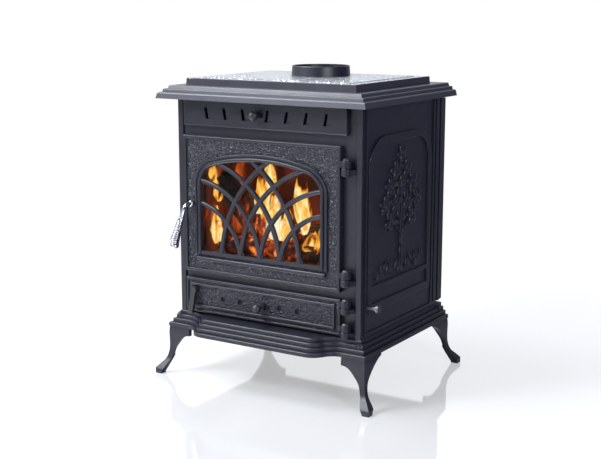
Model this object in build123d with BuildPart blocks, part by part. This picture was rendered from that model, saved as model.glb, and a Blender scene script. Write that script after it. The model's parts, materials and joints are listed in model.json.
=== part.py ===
"""Cast-iron wood burning stove: a boxed fire chamber on four cast legs.

Frame: millimetres, X to the right, Y to the back, Z up, floor at Z = 0,
origin under the middle of the stove. The doors are on the -Y side.
"""
import os
from math import asin, atan, degrees, hypot, sqrt

from build123d import *

os.makedirs("parts", exist_ok=True)

# ---- body ----
body_width = 481.0
body_front = -170.0
body_back = 192.0
body_bottom = 150.0
body_top = 646.0
front_wall = 7.0
side_wall = 6.0
back_wall = 6.0
slide_gap = 0.3
shaft_gap = 0.06
half_body = body_width / 2
inner_half = half_body - side_wall
front_inner = body_front + front_wall
back_inner = body_back - back_wall

# ---- base plate: stepped moulding, bowed front ----
base_overhang = 22.0
base_front_overhang = 26.0
base_back_overhang = 24.0
base_height = 37.0
base_bow = 44.0
base_bow_half = 138.0
base_curve_run = 70.0
base_wall = 8.0
base_floor = 7.0
base_bottom = body_bottom - base_height
base_half = half_body + base_overhang
base_corner_y = body_front - base_front_overhang
base_back = body_back + base_back_overhang
base_insets = [0.0, 7.0, 13.0, 19.0]
base_round = 3.0
tread_height = base_height / len(base_insets)

# ---- top plate: stepped cornice with a raised hob ----
top_overhang = 29.5
top_front_overhang = 48.0
top_back_overhang = 26.0
cornice_steps = [(14.0, 0.0, 14.0, 4.5), (7.5, 11.0, 14.0, 2.5), (7.5, 20.0, 20.0, 2.5)]
hob_height = 16.0
hob_inset = 49.5
hob_back_inset = 42.0
hob_panel_inset = 28.0
top_wall = 8.0
top_half = half_body + top_overhang
top_front = body_front - top_front_overhang
top_back = body_back + top_back_overhang
hob_foot = body_top + sum(step[0] for step in cornice_steps)
hob_top = hob_foot + hob_height
panel_top = hob_top + 1.0

# ---- flue collar for a 125 mm pipe ----
flue_y = 55.0
flue_bore = 62.75
flue_wall = 4.0
flue_rise = 23.0
flue_neck_wall = 3.3
flue_lug_count = 3
flue_lug_circle = 51.0
flue_lug_width = 22.0
flue_lug_thick = 6.0
flue_stop_depth = 12.0
flue_socket_depth = 12.0

# ---- legs ----
leg_inset = 1.5
leg_wall = 9.0
leg_flare = 25.5
leg_bracket_front = 57.0
leg_bracket_side = 75.0
leg_lip_front = 18.5
leg_lip_side = 5.0
leg_pad = 12.0
leg_toe = 17.0
leg_bolt_inset = 22.0
leg_flange = 8.0

# ---- side panels ----
side_frame_front, side_frame_back = -151.0, 147.0
side_frame_bottom, side_frame_top = 203.0, 580.0
side_frame_corner = 72.0
side_band = 17.0
side_relief = 3.5
side_divider_bottom, side_divider_top = 250.0, 260.0
reed_relief = 2.5
reed_bottom, reed_top = 161.0, 640.0
reeds = [(-162.0, -156.0), (155.0, 163.0), (170.0, 185.0)]

# ---- door plane: P is the distance in front of the front plate ----
door_gap = 1.0
door_center = -13.5
door_width = 413.0
door_lap = 16.0
door_field = 11.0
door_rim = 14.5
door_rim_width = 8.0
main_bottom, main_top = 250.0, 564.0
ash_bottom, ash_top = 154.0, 234.0
ash_lap = 13.0
rope_size = 7.6
rope_groove = 8.6
rope_inset = 8.0
rope_floor = 8.4
door_left = door_center - door_width / 2
door_right = door_center + door_width / 2

# ---- window and lattice ----
window_width = 314.0
window_sill = 301.0
window_top = 514.0
window_corner = 45.0
window_crown = 480.0
window_bars = [(1.0, 9.5, 17.7, 3.6), (9.5, 12.5, 14.0, 1.0), (12.5, 18.0, 16.0, 2.0)]
lattice_pitch = 52.0
lattice_count = 4
lattice_center_offset = 188.0
lattice_center_z = 275.0
lattice_bar_width = 10.5
lattice_round = 4.0
lattice_front = 15.0
lattice_depth = 7.6
glass_thick = 4.0
glass_lap = 10.0
glass_edge_gap = 0.6
gasket_thick = 1.2
clip_thick = 2.5
clip_spread_x, clip_spread_z = 100.0, 62.0

# ---- hinges ----
hinge_x = 207.5
hinge_p = 13.5
hinge_radius = 11.5
hinge_round = 2.0
hinge_pin = 4.0
hinge_head = 8.0
main_hinges = [(502.0, 15.5, 17.0), (265.0, 15.0, 16.0)]
ash_hinges = [(205.0, 13.0, 14.5), (153.5, 12.0, 14.0)]
post_width = 14.5
post_rise = 5.0

# ---- latches ----
latch_x = -194.0
latch_z = 409.0
latch_shaft = 4.0
latch_hub = 7.5
latch_hub_p = 22.0
latch_boss = 12.0
handle_reach = 24.0
handle_bend = 12.0
handle_rod_radius = 4.5
handle_tilt = 18.0
handle_collar_drop = 34.0
grip_length = 62.0
grip_top_radius = 6.7
grip_end_radius = 11.5
grip_rings = 11
grip_cap = 10.0
tongue_length = 24.0
tongue_width = 12.0
tongue_thick = 6.0
ash_latch_x = -193.0
ash_latch_z = 206.0
ash_latch_p = 15.0
lever_width = 13.0
lever_drop = 52.0

# ---- air wash ----
vent_left, vent_right = -220.0, 207.0
vent_bottom = 586.0
vent_depth = 12.0
vent_wall = 4.5
vent_center = -20.0
vent_first = 31.5
vent_pitch = 49.5
vent_slot_width = 17.0
vent_slot_bottom, vent_slot_top = 603.0, 628.0
vent_slot_lean = 5.0
vent_knob_z = 617.0
vent_knob_x = -19.0
vent_close, vent_open = 5.0, 12.0
slider_thick = 3.0
knob_stem = 4.0
knob_radius = 11.0
vent_knob_p, ash_knob_p = 26.0, 28.0

# ---- ash door air holes ----
air_hole = 6.0
air_hole_pitch = 47.0
air_hole_first = 53.0
air_hole_z = 192.0
air_hole_center = -17.0
air_travel = 20.0
ash_knob_x, ash_knob_z = -12.0, 188.5
ash_field, ash_rim = 9.0, 12.0
ash_rope_floor = 6.4

# ---- fire chamber ----
grate_ledge = 8.0
grate_z = 236.0
grate_frame_thick = 12.0
grate_front, grate_back = -145.0, 184.0
guard_half, guard_y = 200.0, -133.5
guard_height, guard_pitch, guard_bars = 44.0, 36.0, 12
riddle_seat = 5.0
riddle_half = 156.0
riddle_front, riddle_back = -105.6, 145.6
riddle_travel = 16.0
riddle_thick = 8.0
riddle_bar_pitch = 19.0
riddle_slot = 8.0
rod_y, rod_z = -150.0, 217.0
rod_radius = 5.5
rod_neck = 4.0
arm_left, arm_right = 112.0, 124.0
rod_knob_reach = 31.0
brick_thick = 25.0
brick_height = 272.0
brick_gap = 2.5
brick_front, brick_back = -118.0, 158.0
rear_brick_half = 206.0
baffle_half, baffle_front, baffle_back = 214.0, -60.0, 184.0
baffle_lip = 25.0
rod_tie_x = 221.0
tie_front_y, tie_back_y = -131.0, 172.0
tie_radius = 4.0
tie_gap = 2.0
baffle_thick = 8.0
pan_half = 155.0
pan_front, pan_back = -147.0, 150.0
pan_bottom, pan_top = 167.0, 204.0
pan_wall = 2.0
runner_x = 110.0

# ---- rear heat shield ----
shield_thick = 2.0
shield_half = 242.5
shield_bottom, shield_top = 152.0, 640.0
shield_corner = 8.0
shield_back = 216.0
shield_screw_x = 190.0
shield_screw_z = (235.0, 560.0)
screw_radius = 3.0


def save(part, name):
    """Label a finished piece and write it under its own name."""
    part.label = name
    export_step(part, f"parts/{name}.step")


def door_plane(p):
    """A plane p in front of the front plate, facing forwards, drawn in X and Z."""
    return Plane.XZ.offset(p - body_front)


def rect(x0, x1, y0, y1, **options):
    """A rectangle between two pairs of limits in the sketch's own axes."""
    with Locations(((x0 + x1) / 2, (y0 + y1) / 2)):
        Rectangle(abs(x1 - x0), abs(y1 - y0), **options)


def block(x0, x1, y0, y1, z0, z1, mode=Mode.ADD):
    """A box between limits in X, Y and Z."""
    with Locations(((x0 + x1) / 2, (y0 + y1) / 2, (z0 + z1) / 2)):
        Box(abs(x1 - x0), abs(y1 - y0), abs(z1 - z0), mode=mode)


def upright(x, y, z0, z1, radius, mode=Mode.ADD):
    """A cylinder along Z between two heights."""
    with Locations((x, y, (z0 + z1) / 2)):
        Cylinder(radius, abs(z1 - z0), mode=mode)


def along_y(x, z, y0, y1, radius, mode=Mode.ADD):
    """A cylinder along Y between two depths."""
    with Locations(Location((x, (y0 + y1) / 2, z), (90, 0, 0))):
        Cylinder(radius, abs(y1 - y0), mode=mode)


def along_x(y, z, x0, x1, radius, mode=Mode.ADD):
    """A cylinder along X between two limits."""
    with Locations(Location(((x0 + x1) / 2, y, z), (0, 90, 0))):
        Cylinder(radius, abs(x1 - x0), mode=mode)


def barrel(low, length):
    """A hinge knuckle with rounded ends, standing on the hinge axis."""
    with BuildPart() as knuckle:
        upright(hinge_x, body_front - hinge_p, low, low + length, hinge_radius)
        fillet(knuckle.edges().filter_by(GeomType.CIRCLE), hinge_round)
    return knuckle.part


# ================= base plate =================
def base_plan(inset, back):
    """The bowed plan of the base, moved in by an inset, ending flat at the back."""
    half_run, half_drop = base_curve_run / 2, base_bow / 2
    radius = (half_run ** 2 + half_drop ** 2) / (2 * half_drop)
    turn = 2 * degrees(atan(half_drop / half_run))
    with BuildLine() as outline:
        Polyline((0, back + inset), (base_half, back + inset), (base_half, base_corner_y),
                 (base_bow_half + base_curve_run, base_corner_y))
        outer_arc = JernArc((base_bow_half + base_curve_run, base_corner_y), (-1, 0), radius, turn)
        inner_arc = JernArc(outer_arc @ 1, outer_arc % 1, radius, -turn)
        Line(inner_arc @ 1, (0, base_corner_y - base_bow))
        mirror(about=Plane.YZ)
    make_face(outline.edges())
    if inset:
        offset(amount=-inset, kind=Kind.INTERSECTION, mode=Mode.REPLACE)


leg_corner_x = base_half - leg_inset
leg_corner_y = base_corner_y + leg_inset
leg_back_y = base_back - leg_inset
bolt_spots = [(side * (leg_corner_x - leg_bolt_inset), y)
              for side in (-1, 1)
              for y in (leg_corner_y + leg_bolt_inset, leg_back_y - leg_bolt_inset)]
tie_spots = [(side * rod_tie_x, y) for side in (-1, 1) for y in (tie_front_y, tie_back_y)]

with BuildPart() as base_plate:
    for level, inset in enumerate(base_insets):
        with BuildSketch(Plane.XY.offset(base_bottom + level * tread_height)):
            base_plan(inset, base_back)
        extrude(amount=tread_height)
        tread = base_plate.faces().sort_by(Axis.Z)[-1]
        fillet(tread.edges().sort_by(Axis.Y)[:-1], base_round)
    for level, inset in enumerate(base_insets):
        with BuildSketch(Plane.XY.offset(base_bottom)):
            base_plan(inset + base_wall, base_back - base_wall)
        extrude(amount=(level + 1) * tread_height - base_floor, mode=Mode.SUBTRACT)
    for x, y in bolt_spots:
        upright(x, y, base_bottom, body_bottom - base_floor, 12)
        upright(x, y, base_bottom, base_bottom + 20, 5.05, mode=Mode.SUBTRACT)
    for x, y in tie_spots:
        upright(x, y, body_bottom - base_floor, body_bottom, tie_radius + 0.5, mode=Mode.SUBTRACT)
    for side in (-1, 1):
        block(side * runner_x - 4, side * runner_x + 4, pan_front, pan_back, body_bottom, pan_bottom)
save(base_plate.part, "base_plate")


# ================= legs =================
def leg_edge():
    """The outer edge of a leg, flaring out to its toe: X is inwards, Y is up."""
    return [(0, base_bottom), (-1.0, 0.72 * base_bottom), (-3.8, 0.39 * base_bottom),
            (-8.5, 0.29 * base_bottom), (-17.0, 0.2 * base_bottom), (-leg_flare, leg_pad)]


def leg_profile(bracket, lip):
    """One face of a leg: flared edge, toe, slim ankle and a bracket curving up to its end."""
    edge = leg_edge()
    toe = leg_toe - leg_flare
    end = base_bottom - lip
    knee = 0.65 * base_bottom
    with BuildLine() as outline:
        Spline(*edge)
        Polyline(edge[-1], (-leg_flare, 0), (toe, 0), (toe, 3))
        Spline((toe, 3), (1.5, 0.22 * base_bottom), (7, 0.34 * base_bottom), (14.5, 0.53 * base_bottom),
               (24, knee), (0.6 * bracket, end - 0.42 * (end - knee)), (bracket, end))
        Polyline((bracket, end), (bracket, base_bottom), edge[0])
    make_face(outline.edges())


def leg_core():
    """The hollow behind one face: the flared edge moved in by the wall, down to the ankle."""
    edge = [(x + leg_wall, y) for x, y in leg_edge()[:3]]
    with BuildLine() as outline:
        Spline(*edge)
        Polyline(edge[-1], (200, edge[-1][1]), (200, base_bottom), edge[0])
    make_face(outline.edges())


front_face = Plane(origin=(leg_corner_x, leg_corner_y, 0), x_dir=(-1, 0, 0), z_dir=(0, 1, 0))
side_face = Plane(origin=(leg_corner_x, leg_corner_y, 0), x_dir=(0, 1, 0), z_dir=(1, 0, 0))

with BuildPart() as leg_hollow:
    with BuildSketch(front_face):
        leg_core()
    extrude(amount=leg_bracket_side, both=True)
    with BuildSketch(side_face):
        leg_core()
    extrude(amount=leg_bracket_side, both=True, mode=Mode.INTERSECT)

with BuildPart() as leg_front_right:
    with BuildSketch(front_face):
        leg_profile(leg_bracket_front, leg_lip_front)
    extrude(amount=leg_bracket_side, both=True)
    with BuildSketch(side_face):
        leg_profile(leg_bracket_side, leg_lip_side)
    extrude(amount=leg_bracket_side, both=True, mode=Mode.INTERSECT)
    add(leg_hollow.part, mode=Mode.SUBTRACT)
    with BuildSketch(Plane(origin=(leg_corner_x, leg_corner_y, base_bottom),
                           x_dir=(-1, 0, 0), z_dir=(0, 0, -1))):
        Polygon((4, 4), (leg_bracket_front - 8, 4), (4, leg_bracket_front - 8), align=None)
    extrude(amount=leg_flange)
    upright(leg_corner_x - leg_bolt_inset, leg_corner_y + leg_bolt_inset,
            base_bottom - leg_flange, base_bottom, 5.5, mode=Mode.SUBTRACT)
save(leg_front_right.part, "leg_front_right")

leg_mirror_y = (leg_corner_y + leg_back_y) / 2
with BuildPart() as leg_front_left:
    add(mirror(leg_front_right.part, about=Plane.YZ))
save(leg_front_left.part, "leg_front_left")

with BuildPart() as leg_rear_right:
    add(mirror(leg_front_right.part, about=Plane.XZ.offset(-leg_mirror_y)))
save(leg_rear_right.part, "leg_rear_right")

with BuildPart() as leg_rear_left:
    add(mirror(leg_rear_right.part, about=Plane.YZ))
save(leg_rear_left.part, "leg_rear_left")

with BuildPart() as leg_bolts:
    for x, y in bolt_spots:
        upright(x, y, base_bottom - leg_flange, base_bottom + 18, 5)
        with BuildSketch(Plane.XY.offset(base_bottom - leg_flange)):
            with Locations((x, y)):
                RegularPolygon(9.8, 6)
        extrude(amount=-6.4)
save(leg_bolts.part, "leg_bolts")


# ================= top plate and flue collar =================
def cornice_plan(inset):
    """The top plate's outline moved in on three sides, running past the back."""
    rect(-top_half + inset, top_half - inset, top_front + inset, top_back + 40)


neck_radius = flue_bore + flue_neck_wall
collar_bottom = hob_top - flue_socket_depth
lug_top = collar_bottom
with BuildPart() as top_plate:
    level = body_top
    for height, inset, taper, edge_round in cornice_steps:
        with BuildSketch(Plane.XY.offset(level)):
            cornice_plan(inset)
        extrude(amount=height, taper=taper)
        step_top = top_plate.faces().sort_by(Axis.Z)[-1]
        fillet(step_top.edges().sort_by(Axis.Y)[:-1], edge_round)
        level += height
    split(bisect_by=Plane.XZ.offset(-top_back), keep=Keep.TOP)
    with BuildSketch(Plane.XY.offset(hob_foot)):
        rect(-top_half + hob_inset, top_half - hob_inset, top_front + hob_inset, top_back - hob_back_inset)
    extrude(amount=hob_height, taper=4)
    fillet(top_plate.faces().sort_by(Axis.Z)[-1].edges(), 1.5)
    with BuildSketch(Plane.XY.offset(hob_top)):
        rect(-top_half + hob_inset + hob_panel_inset, top_half - hob_inset - hob_panel_inset,
             top_front + hob_inset + hob_panel_inset, top_back - hob_back_inset - hob_panel_inset)
    extrude(amount=panel_top - hob_top)
    block(-inner_half + top_wall, inner_half - top_wall, front_inner + 5, back_inner + 2,
          body_top, hob_foot - top_wall, mode=Mode.SUBTRACT)
    block(-top_half + hob_inset + top_wall, top_half - hob_inset - top_wall,
          top_front + hob_inset + top_wall, top_back - hob_back_inset - top_wall,
          hob_foot - top_wall, hob_top - top_wall, mode=Mode.SUBTRACT)
    with BuildSketch(Plane.XY.offset(body_top)):
        rect(-top_half + 9, top_half - 9, top_front + 9, top_back - 9)
        rect(-half_body - 5, half_body + 5, body_front - 20, body_back + 5, mode=Mode.SUBTRACT)
    extrude(amount=7, mode=Mode.SUBTRACT)
    upright(0, flue_y, lug_top - flue_lug_thick, hob_top - 2, neck_radius + 9)
    upright(0, flue_y, lug_top - flue_lug_thick, panel_top, neck_radius + slide_gap, mode=Mode.SUBTRACT)
    for spot in PolarLocations(0, flue_lug_count, start_angle=90).local_locations:
        turn = spot.orientation.Z
        with Locations(Location((0, flue_y, lug_top - flue_lug_thick / 2), (0, 0, turn))):
            with Locations(((flue_lug_circle + neck_radius) / 2 - 1, 0, 0)):
                Box(neck_radius - flue_lug_circle + 18, flue_lug_width, flue_lug_thick)
            with Locations((flue_lug_circle, 0, 0)):
                Cylinder(tie_radius + 0.05, flue_lug_thick, mode=Mode.SUBTRACT)
    for x, y in tie_spots:
        upright(x, y, hob_foot - 15, hob_foot - 5, 9)
        upright(x, y, hob_foot - 15, hob_foot - 4, tie_radius + 0.05, mode=Mode.SUBTRACT)
save(top_plate.part, "top_plate")

collar_top = panel_top + flue_rise
with BuildPart() as flue_collar:
    with BuildSketch(Plane.XZ):
        with BuildLine():
            Polyline((flue_bore - 3, collar_bottom), (neck_radius, collar_bottom), (neck_radius, panel_top),
                     (flue_bore + flue_wall + 1.5, panel_top), (flue_bore + flue_wall, collar_top - 1.5),
                     (flue_bore + flue_wall - 1.5, collar_top), (flue_bore, collar_top),
                     (flue_bore, collar_bottom + flue_stop_depth),
                     (flue_bore - 3, collar_bottom + flue_stop_depth), close=True)
        make_face()
    revolve(axis=Axis.Z)
    for spot in PolarLocations(0, flue_lug_count, start_angle=90).local_locations:
        with Locations(Location((0, 0, collar_bottom + flue_lug_thick / 2), (0, 0, spot.orientation.Z))):
            with Locations(((flue_lug_circle + flue_bore) / 2 - 3, 0, 0)):
                Box(flue_bore - flue_lug_circle + 8, flue_lug_width, flue_lug_thick)
            with Locations((flue_lug_circle, 0, 0)):
                Cylinder(tie_radius + 0.5, flue_lug_thick, mode=Mode.SUBTRACT)
flue_collar.part.position = (0, flue_y, 0)
save(flue_collar.part, "flue_collar")

with BuildPart() as collar_bolts:
    for spot in PolarLocations(flue_lug_circle, flue_lug_count, start_angle=90).local_locations:
        x, y = spot.position.X, spot.position.Y + flue_y
        upright(x, y, lug_top - flue_lug_thick - 2, collar_bottom + flue_lug_thick, tie_radius)
        with BuildSketch(Plane.XY.offset(collar_bottom + flue_lug_thick)):
            with Locations((x, y)):
                RegularPolygon(7.5, 6)
        extrude(amount=5)
save(collar_bolts.part, "collar_bolts")


# ================= body shell =================
main_left, main_right = door_left + door_lap, door_right - door_lap
vent_floor = vent_depth - vent_wall
vent_rail = vent_floor - slider_thick - 2 * slide_gap
vent_screws = [(vent_left + 9, 616.0), (vent_right - 9, 616.0)]
with BuildPart() as front_plate:
    with BuildSketch(door_plane(0)):
        rect(-half_body, half_body, body_bottom, body_top)
        with Locations(((main_left + main_right) / 2, (main_bottom + main_top) / 2)):
            RectangleRounded(main_right - main_left, main_top - main_bottom - 2 * door_lap, 12,
                             mode=Mode.SUBTRACT)
        with Locations(((main_left + main_right) / 2, (ash_bottom + ash_top) / 2)):
            RectangleRounded(main_right - main_left, ash_top - ash_bottom - 2 * ash_lap, 6,
                             mode=Mode.SUBTRACT)
        with Locations((0, 613)):
            with GridLocations(56, 1, 6, 1):
                SlotOverall(42, 12, mode=Mode.SUBTRACT)
    extrude(amount=-front_wall)
    with BuildSketch(door_plane(0)):
        for side in (-1, 1):
            rect(side * half_body, side * (half_body - post_width), body_bottom, body_top)
    extrude(amount=post_rise)
    fillet(front_plate.faces().filter_by(Axis.Y).sort_by(Axis.Y)[:2].edges().filter_by(Axis.Z), 2)
    with BuildSketch(door_plane(-front_wall)):
        for side in (-1, 1):
            rect(side * (inner_half - 0.5), side * (inner_half - 5.5), body_bottom + 8, body_top - 8)
    extrude(amount=-6)
    for low, knuckle, _ in main_hinges + ash_hinges:
        add(barrel(low, knuckle))
        with BuildSketch(Plane.XY.offset(low + hinge_round)):
            with BuildLine():
                Polyline((hinge_x - hinge_radius + 1, body_front - hinge_p),
                         (hinge_x - hinge_radius + 1, body_front - 1),
                         (hinge_x + 19, body_front - 1), (hinge_x + 19, body_front - 4),
                         (hinge_x + hinge_radius * 0.72, body_front - hinge_p - hinge_radius * 0.6),
                         close=True)
            make_face()
            rect(hinge_x - hinge_radius + 1, hinge_x + 19, body_front - 1, body_front + 1)
        extrude(amount=knuckle - 2 * hinge_round)
        upright(hinge_x, body_front - hinge_p, low, low + knuckle, hinge_pin + 0.05, mode=Mode.SUBTRACT)
    for z in (vent_bottom + 8, body_top - 14):
        block(vent_left + 20, vent_right - 16, body_front - vent_rail, body_front, z, z + 4)
    for x, z in vent_screws:
        along_y(x, z, body_front, front_inner, 2.55, mode=Mode.SUBTRACT)
save(front_plate.part, "front_plate")

# ================= side panels =================
with BuildPart() as side_form:
    block(inner_half, half_body, front_inner, back_inner, body_bottom, body_top)
    with BuildSketch(Plane.YZ.offset(half_body)) as side_arch:
        rect(side_frame_front, side_frame_back, side_frame_bottom, side_frame_top)
        fillet(side_arch.vertices().group_by(Axis.Y)[-1], side_frame_corner)
        offset(amount=-side_band, kind=Kind.INTERSECTION, mode=Mode.SUBTRACT)
        rect(side_frame_front + 5, side_frame_back - 5, side_divider_bottom, side_divider_top)
    extrude(amount=side_relief)
    fillet(side_form.faces().filter_by(Axis.X).sort_by(Axis.X)[-1].edges(), 1.6)
    for front, back in reeds:
        with BuildSketch(Plane.YZ.offset(half_body)):
            rect(front, back, reed_bottom, reed_top)
        extrude(amount=reed_relief)
    block(half_body, half_body + reed_relief, front_inner, back_inner, body_bottom + 5, body_bottom + 11)
    block(inner_half - grate_ledge, inner_half, grate_front, grate_back, grate_z - 8, grate_z)

with BuildPart() as left_side_panel:
    add(mirror(side_form.part, about=Plane.YZ))
save(left_side_panel.part, "left_side_panel")

with BuildPart() as right_side_panel:
    add(side_form.part)
    along_x(rod_y, rod_z, half_body, half_body + 2.5, rod_radius + 4)
    along_x(rod_y, rod_z, inner_half, half_body + 4, rod_radius + shaft_gap, mode=Mode.SUBTRACT)
save(right_side_panel.part, "right_side_panel")

# ================= back panel and heat shield =================
with BuildPart() as back_panel:
    block(-half_body, half_body, back_inner, body_back, body_bottom, body_top)
    for side in (-1, 1):
        block(side * (inner_half - 0.5), side * (inner_half - 5.5), back_inner - 6, back_inner,
              grate_z + 20, body_top - 8)
        for z in shield_screw_z:
            along_y(side * shield_screw_x, z, back_inner, body_back, screw_radius + 0.05,
                    mode=Mode.SUBTRACT)
save(back_panel.part, "back_panel")

with BuildPart() as rear_heat_shield:
    with BuildSketch(Plane.XZ.offset(-shield_back)):
        with BuildLine():
            Polyline((-shield_half, shield_bottom + shield_corner),
                     (-shield_half + shield_corner, shield_bottom),
                     (shield_half - shield_corner, shield_bottom),
                     (shield_half, shield_bottom + shield_corner),
                     (shield_half, shield_top), (-shield_half, shield_top), close=True)
        make_face()
    extrude(amount=shield_thick)
    for side in (-1, 1):
        block(side * shield_half, side * (shield_half - shield_thick), body_back + 2, shield_back,
              shield_bottom + shield_corner, shield_top)
        for z in shield_screw_z:
            along_y(side * shield_screw_x, z, body_back + 2, shield_back, screw_radius + 0.05,
                    mode=Mode.SUBTRACT)
save(rear_heat_shield.part, "rear_heat_shield")

with BuildPart() as shield_spacers:
    for side in (-1, 1):
        for z in shield_screw_z:
            along_y(side * shield_screw_x, z, body_back, shield_back - shield_thick, screw_radius + 3)
            along_y(side * shield_screw_x, z, body_back, shield_back - shield_thick,
                    screw_radius + 0.05, mode=Mode.SUBTRACT)
save(shield_spacers.part, "shield_spacers")

with BuildPart() as shield_screws:
    for side in (-1, 1):
        for z in shield_screw_z:
            along_y(side * shield_screw_x, z, back_inner + 0.5, shield_back, screw_radius)
            along_y(side * shield_screw_x, z, shield_back, shield_back + 4, screw_radius + 2.5)
save(shield_screws.part, "shield_screws")

# ================= tie rods =================
with BuildPart() as tie_rods:
    for x, y in tie_spots:
        upright(x, y, body_bottom - base_floor - 12, hob_foot - 4.5, tie_radius)
save(tie_rods.part, "tie_rods")

with BuildPart() as tie_rod_nuts:
    for x, y in tie_spots:
        with BuildSketch(Plane.XY.offset(body_bottom - base_floor)):
            with Locations((x, y)):
                RegularPolygon(7.5, 6)
                Circle(tie_radius + 0.03, mode=Mode.SUBTRACT)
        extrude(amount=-7)
save(tie_rod_nuts.part, "tie_rod_nuts")


# ================= air wash: cover, slider and knob =================
def lean_slots(shift):
    """Air slots leaning away from the knob on both sides, moved along by a shift."""
    for side, count in ((-1, 3), (1, 4)):
        for index in range(count):
            x = vent_center + side * (vent_first + index * vent_pitch) + shift
            lean = side * vent_slot_lean / 2
            with BuildLine() as slot:
                Polyline((x - vent_slot_width / 2 - lean, vent_slot_bottom),
                         (x + vent_slot_width / 2 - lean, vent_slot_bottom),
                         (x + vent_slot_width / 2 + lean, vent_slot_top),
                         (x - vent_slot_width / 2 + lean, vent_slot_top), close=True)
            make_face(slot.edges())


with BuildPart() as vent_cover:
    with BuildSketch(door_plane(0)):
        rect(vent_left, vent_right, vent_bottom, body_top)
    extrude(amount=vent_depth)
    fillet(vent_cover.faces().filter_by(Axis.Y).sort_by(Axis.Y)[0].edges(), 3)
    with BuildSketch(door_plane(0)):
        rect(vent_left + 14, vent_right - 14, vent_bottom + 6, body_top - 6)
    extrude(amount=vent_floor, mode=Mode.SUBTRACT)
    with BuildSketch(door_plane(0)):
        lean_slots(0)
        with Locations((vent_knob_x + (vent_open - vent_close) / 2, vent_knob_z)):
            SlotOverall(vent_open + vent_close + 2 * knob_stem + 1, 2 * knob_stem + 1)
    extrude(amount=vent_depth, mode=Mode.SUBTRACT)
    for x, z in vent_screws:
        along_y(x, z, body_front - 8, body_front, 2.55, mode=Mode.SUBTRACT)
save(vent_cover.part, "vent_cover")

with BuildPart() as vent_cover_screws:
    for x, z in vent_screws:
        along_y(x, z, body_front - 7, front_inner, 2.5)
        along_y(x, z, front_inner, front_inner + 3, 4.5)
save(vent_cover_screws.part, "vent_cover_screws")

with BuildPart() as air_wash_slider:
    with BuildSketch(door_plane(vent_floor - slide_gap)):
        rect(vent_left + 20, vent_right - 28, vent_bottom + 6 + slide_gap, body_top - 8)
    extrude(amount=-slider_thick)
    with BuildSketch(door_plane(vent_floor)):
        lean_slots(4.5 - vent_slot_width)
        with Locations((vent_knob_x, vent_knob_z)):
            Circle(knob_stem + 0.03)
    extrude(amount=-slider_thick * 2, mode=Mode.SUBTRACT)
save(air_wash_slider.part, "air_wash_slider")


def knob(x, z, back_p, ball_p, radius):
    """A ball knob on a straight stem that starts back_p in front of the plate."""
    along_y(x, z, body_front - ball_p, body_front - back_p, knob_stem)
    with Locations((x, body_front - ball_p, z)):
        Sphere(radius)


with BuildPart() as air_wash_knob:
    knob(vent_knob_x, vent_knob_z, vent_floor - slide_gap - slider_thick, vent_knob_p, knob_radius)
save(air_wash_knob.part, "air_wash_knob")

with BuildPart() as airwash_deflector:
    block(main_left, main_right, front_inner, front_inner + 3, 628, 643)
    block(main_left, main_right, front_inner, front_inner + 15, 640, 643)
    block(main_left, main_right, front_inner + 12, front_inner + 15, 552, 643)
save(airwash_deflector.part, "airwash_deflector")

# ================= fire chamber =================
frame_half = inner_half - 1
opening_half = riddle_half - 10
with BuildPart() as grate_frame:
    block(-frame_half, frame_half, grate_front, grate_back, grate_z, grate_z + grate_frame_thick)
    block(-opening_half, opening_half, riddle_front + 9.6, riddle_back - 9.6, grate_z,
          grate_z + grate_frame_thick, mode=Mode.SUBTRACT)
    block(-riddle_half - 10, riddle_half + 10, riddle_front - 0.4, riddle_back + 0.4,
          grate_z + riddle_seat, grate_z + grate_frame_thick, mode=Mode.SUBTRACT)
    for x, y in tie_spots:
        upright(x, y, grate_z, grate_z + grate_frame_thick, tie_radius + tie_gap, mode=Mode.SUBTRACT)
save(grate_frame.part, "grate_frame")

riddle_left, riddle_right = -riddle_half - 8, riddle_half - 8
riddle_bottom = grate_z + riddle_seat
with BuildPart() as riddling_grate:
    block(riddle_left, riddle_right, riddle_front, riddle_back, riddle_bottom, riddle_bottom + riddle_thick)
    with BuildSketch(Plane.XY.offset(riddle_bottom)):
        with Locations(((riddle_left + riddle_right) / 2, 12)):
            with GridLocations(riddle_bar_pitch, 1, 15, 1):
                SlotOverall(170, riddle_slot, rotation=90)
    extrude(amount=riddle_thick, mode=Mode.SUBTRACT)
    block(arm_left, arm_right, riddle_front + 11.6, riddle_front + 25.6, rod_z - 5, riddle_bottom)
    block(arm_left, arm_right, rod_y - 7, riddle_front + 25.6, rod_z - 6, rod_z + 6)
    along_x(rod_y, rod_z, arm_left, arm_right, rod_neck + 0.03, mode=Mode.SUBTRACT)
save(riddling_grate.part, "riddling_grate")

rod_end = half_body + rod_knob_reach - 9
with BuildPart() as riddling_rod:
    along_x(rod_y, rod_z, arm_right, rod_end, rod_radius)
    along_x(rod_y, rod_z, arm_left - 9, arm_right, rod_neck)
    along_x(rod_y, rod_z, rod_end, rod_end + 5, rod_neck)
save(riddling_rod.part, "riddling_rod")

with BuildPart() as riddling_nut:
    with BuildSketch(Plane.YZ.offset(arm_left)):
        with Locations((rod_y, rod_z)):
            RegularPolygon(7.5, 6)
            Circle(rod_neck + 0.03, mode=Mode.SUBTRACT)
    extrude(amount=-6)
save(riddling_nut.part, "riddling_nut")

with BuildPart() as riddling_knob:
    with BuildSketch(Plane.XZ):
        with BuildLine():
            Polyline((rod_neck + 0.03, 0), (7, 0), (7, 3), (10, 4.5), (10, 8), (8.5, 9.5), (0, 9.5),
                     (0, 5), (rod_neck + 0.03, 5), close=True)
        make_face()
    revolve(axis=Axis.Z)
riddling_knob.part.location = Location((rod_end, rod_y, rod_z), (0, 90, 0))
save(riddling_knob.part, "riddling_knob")

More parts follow.
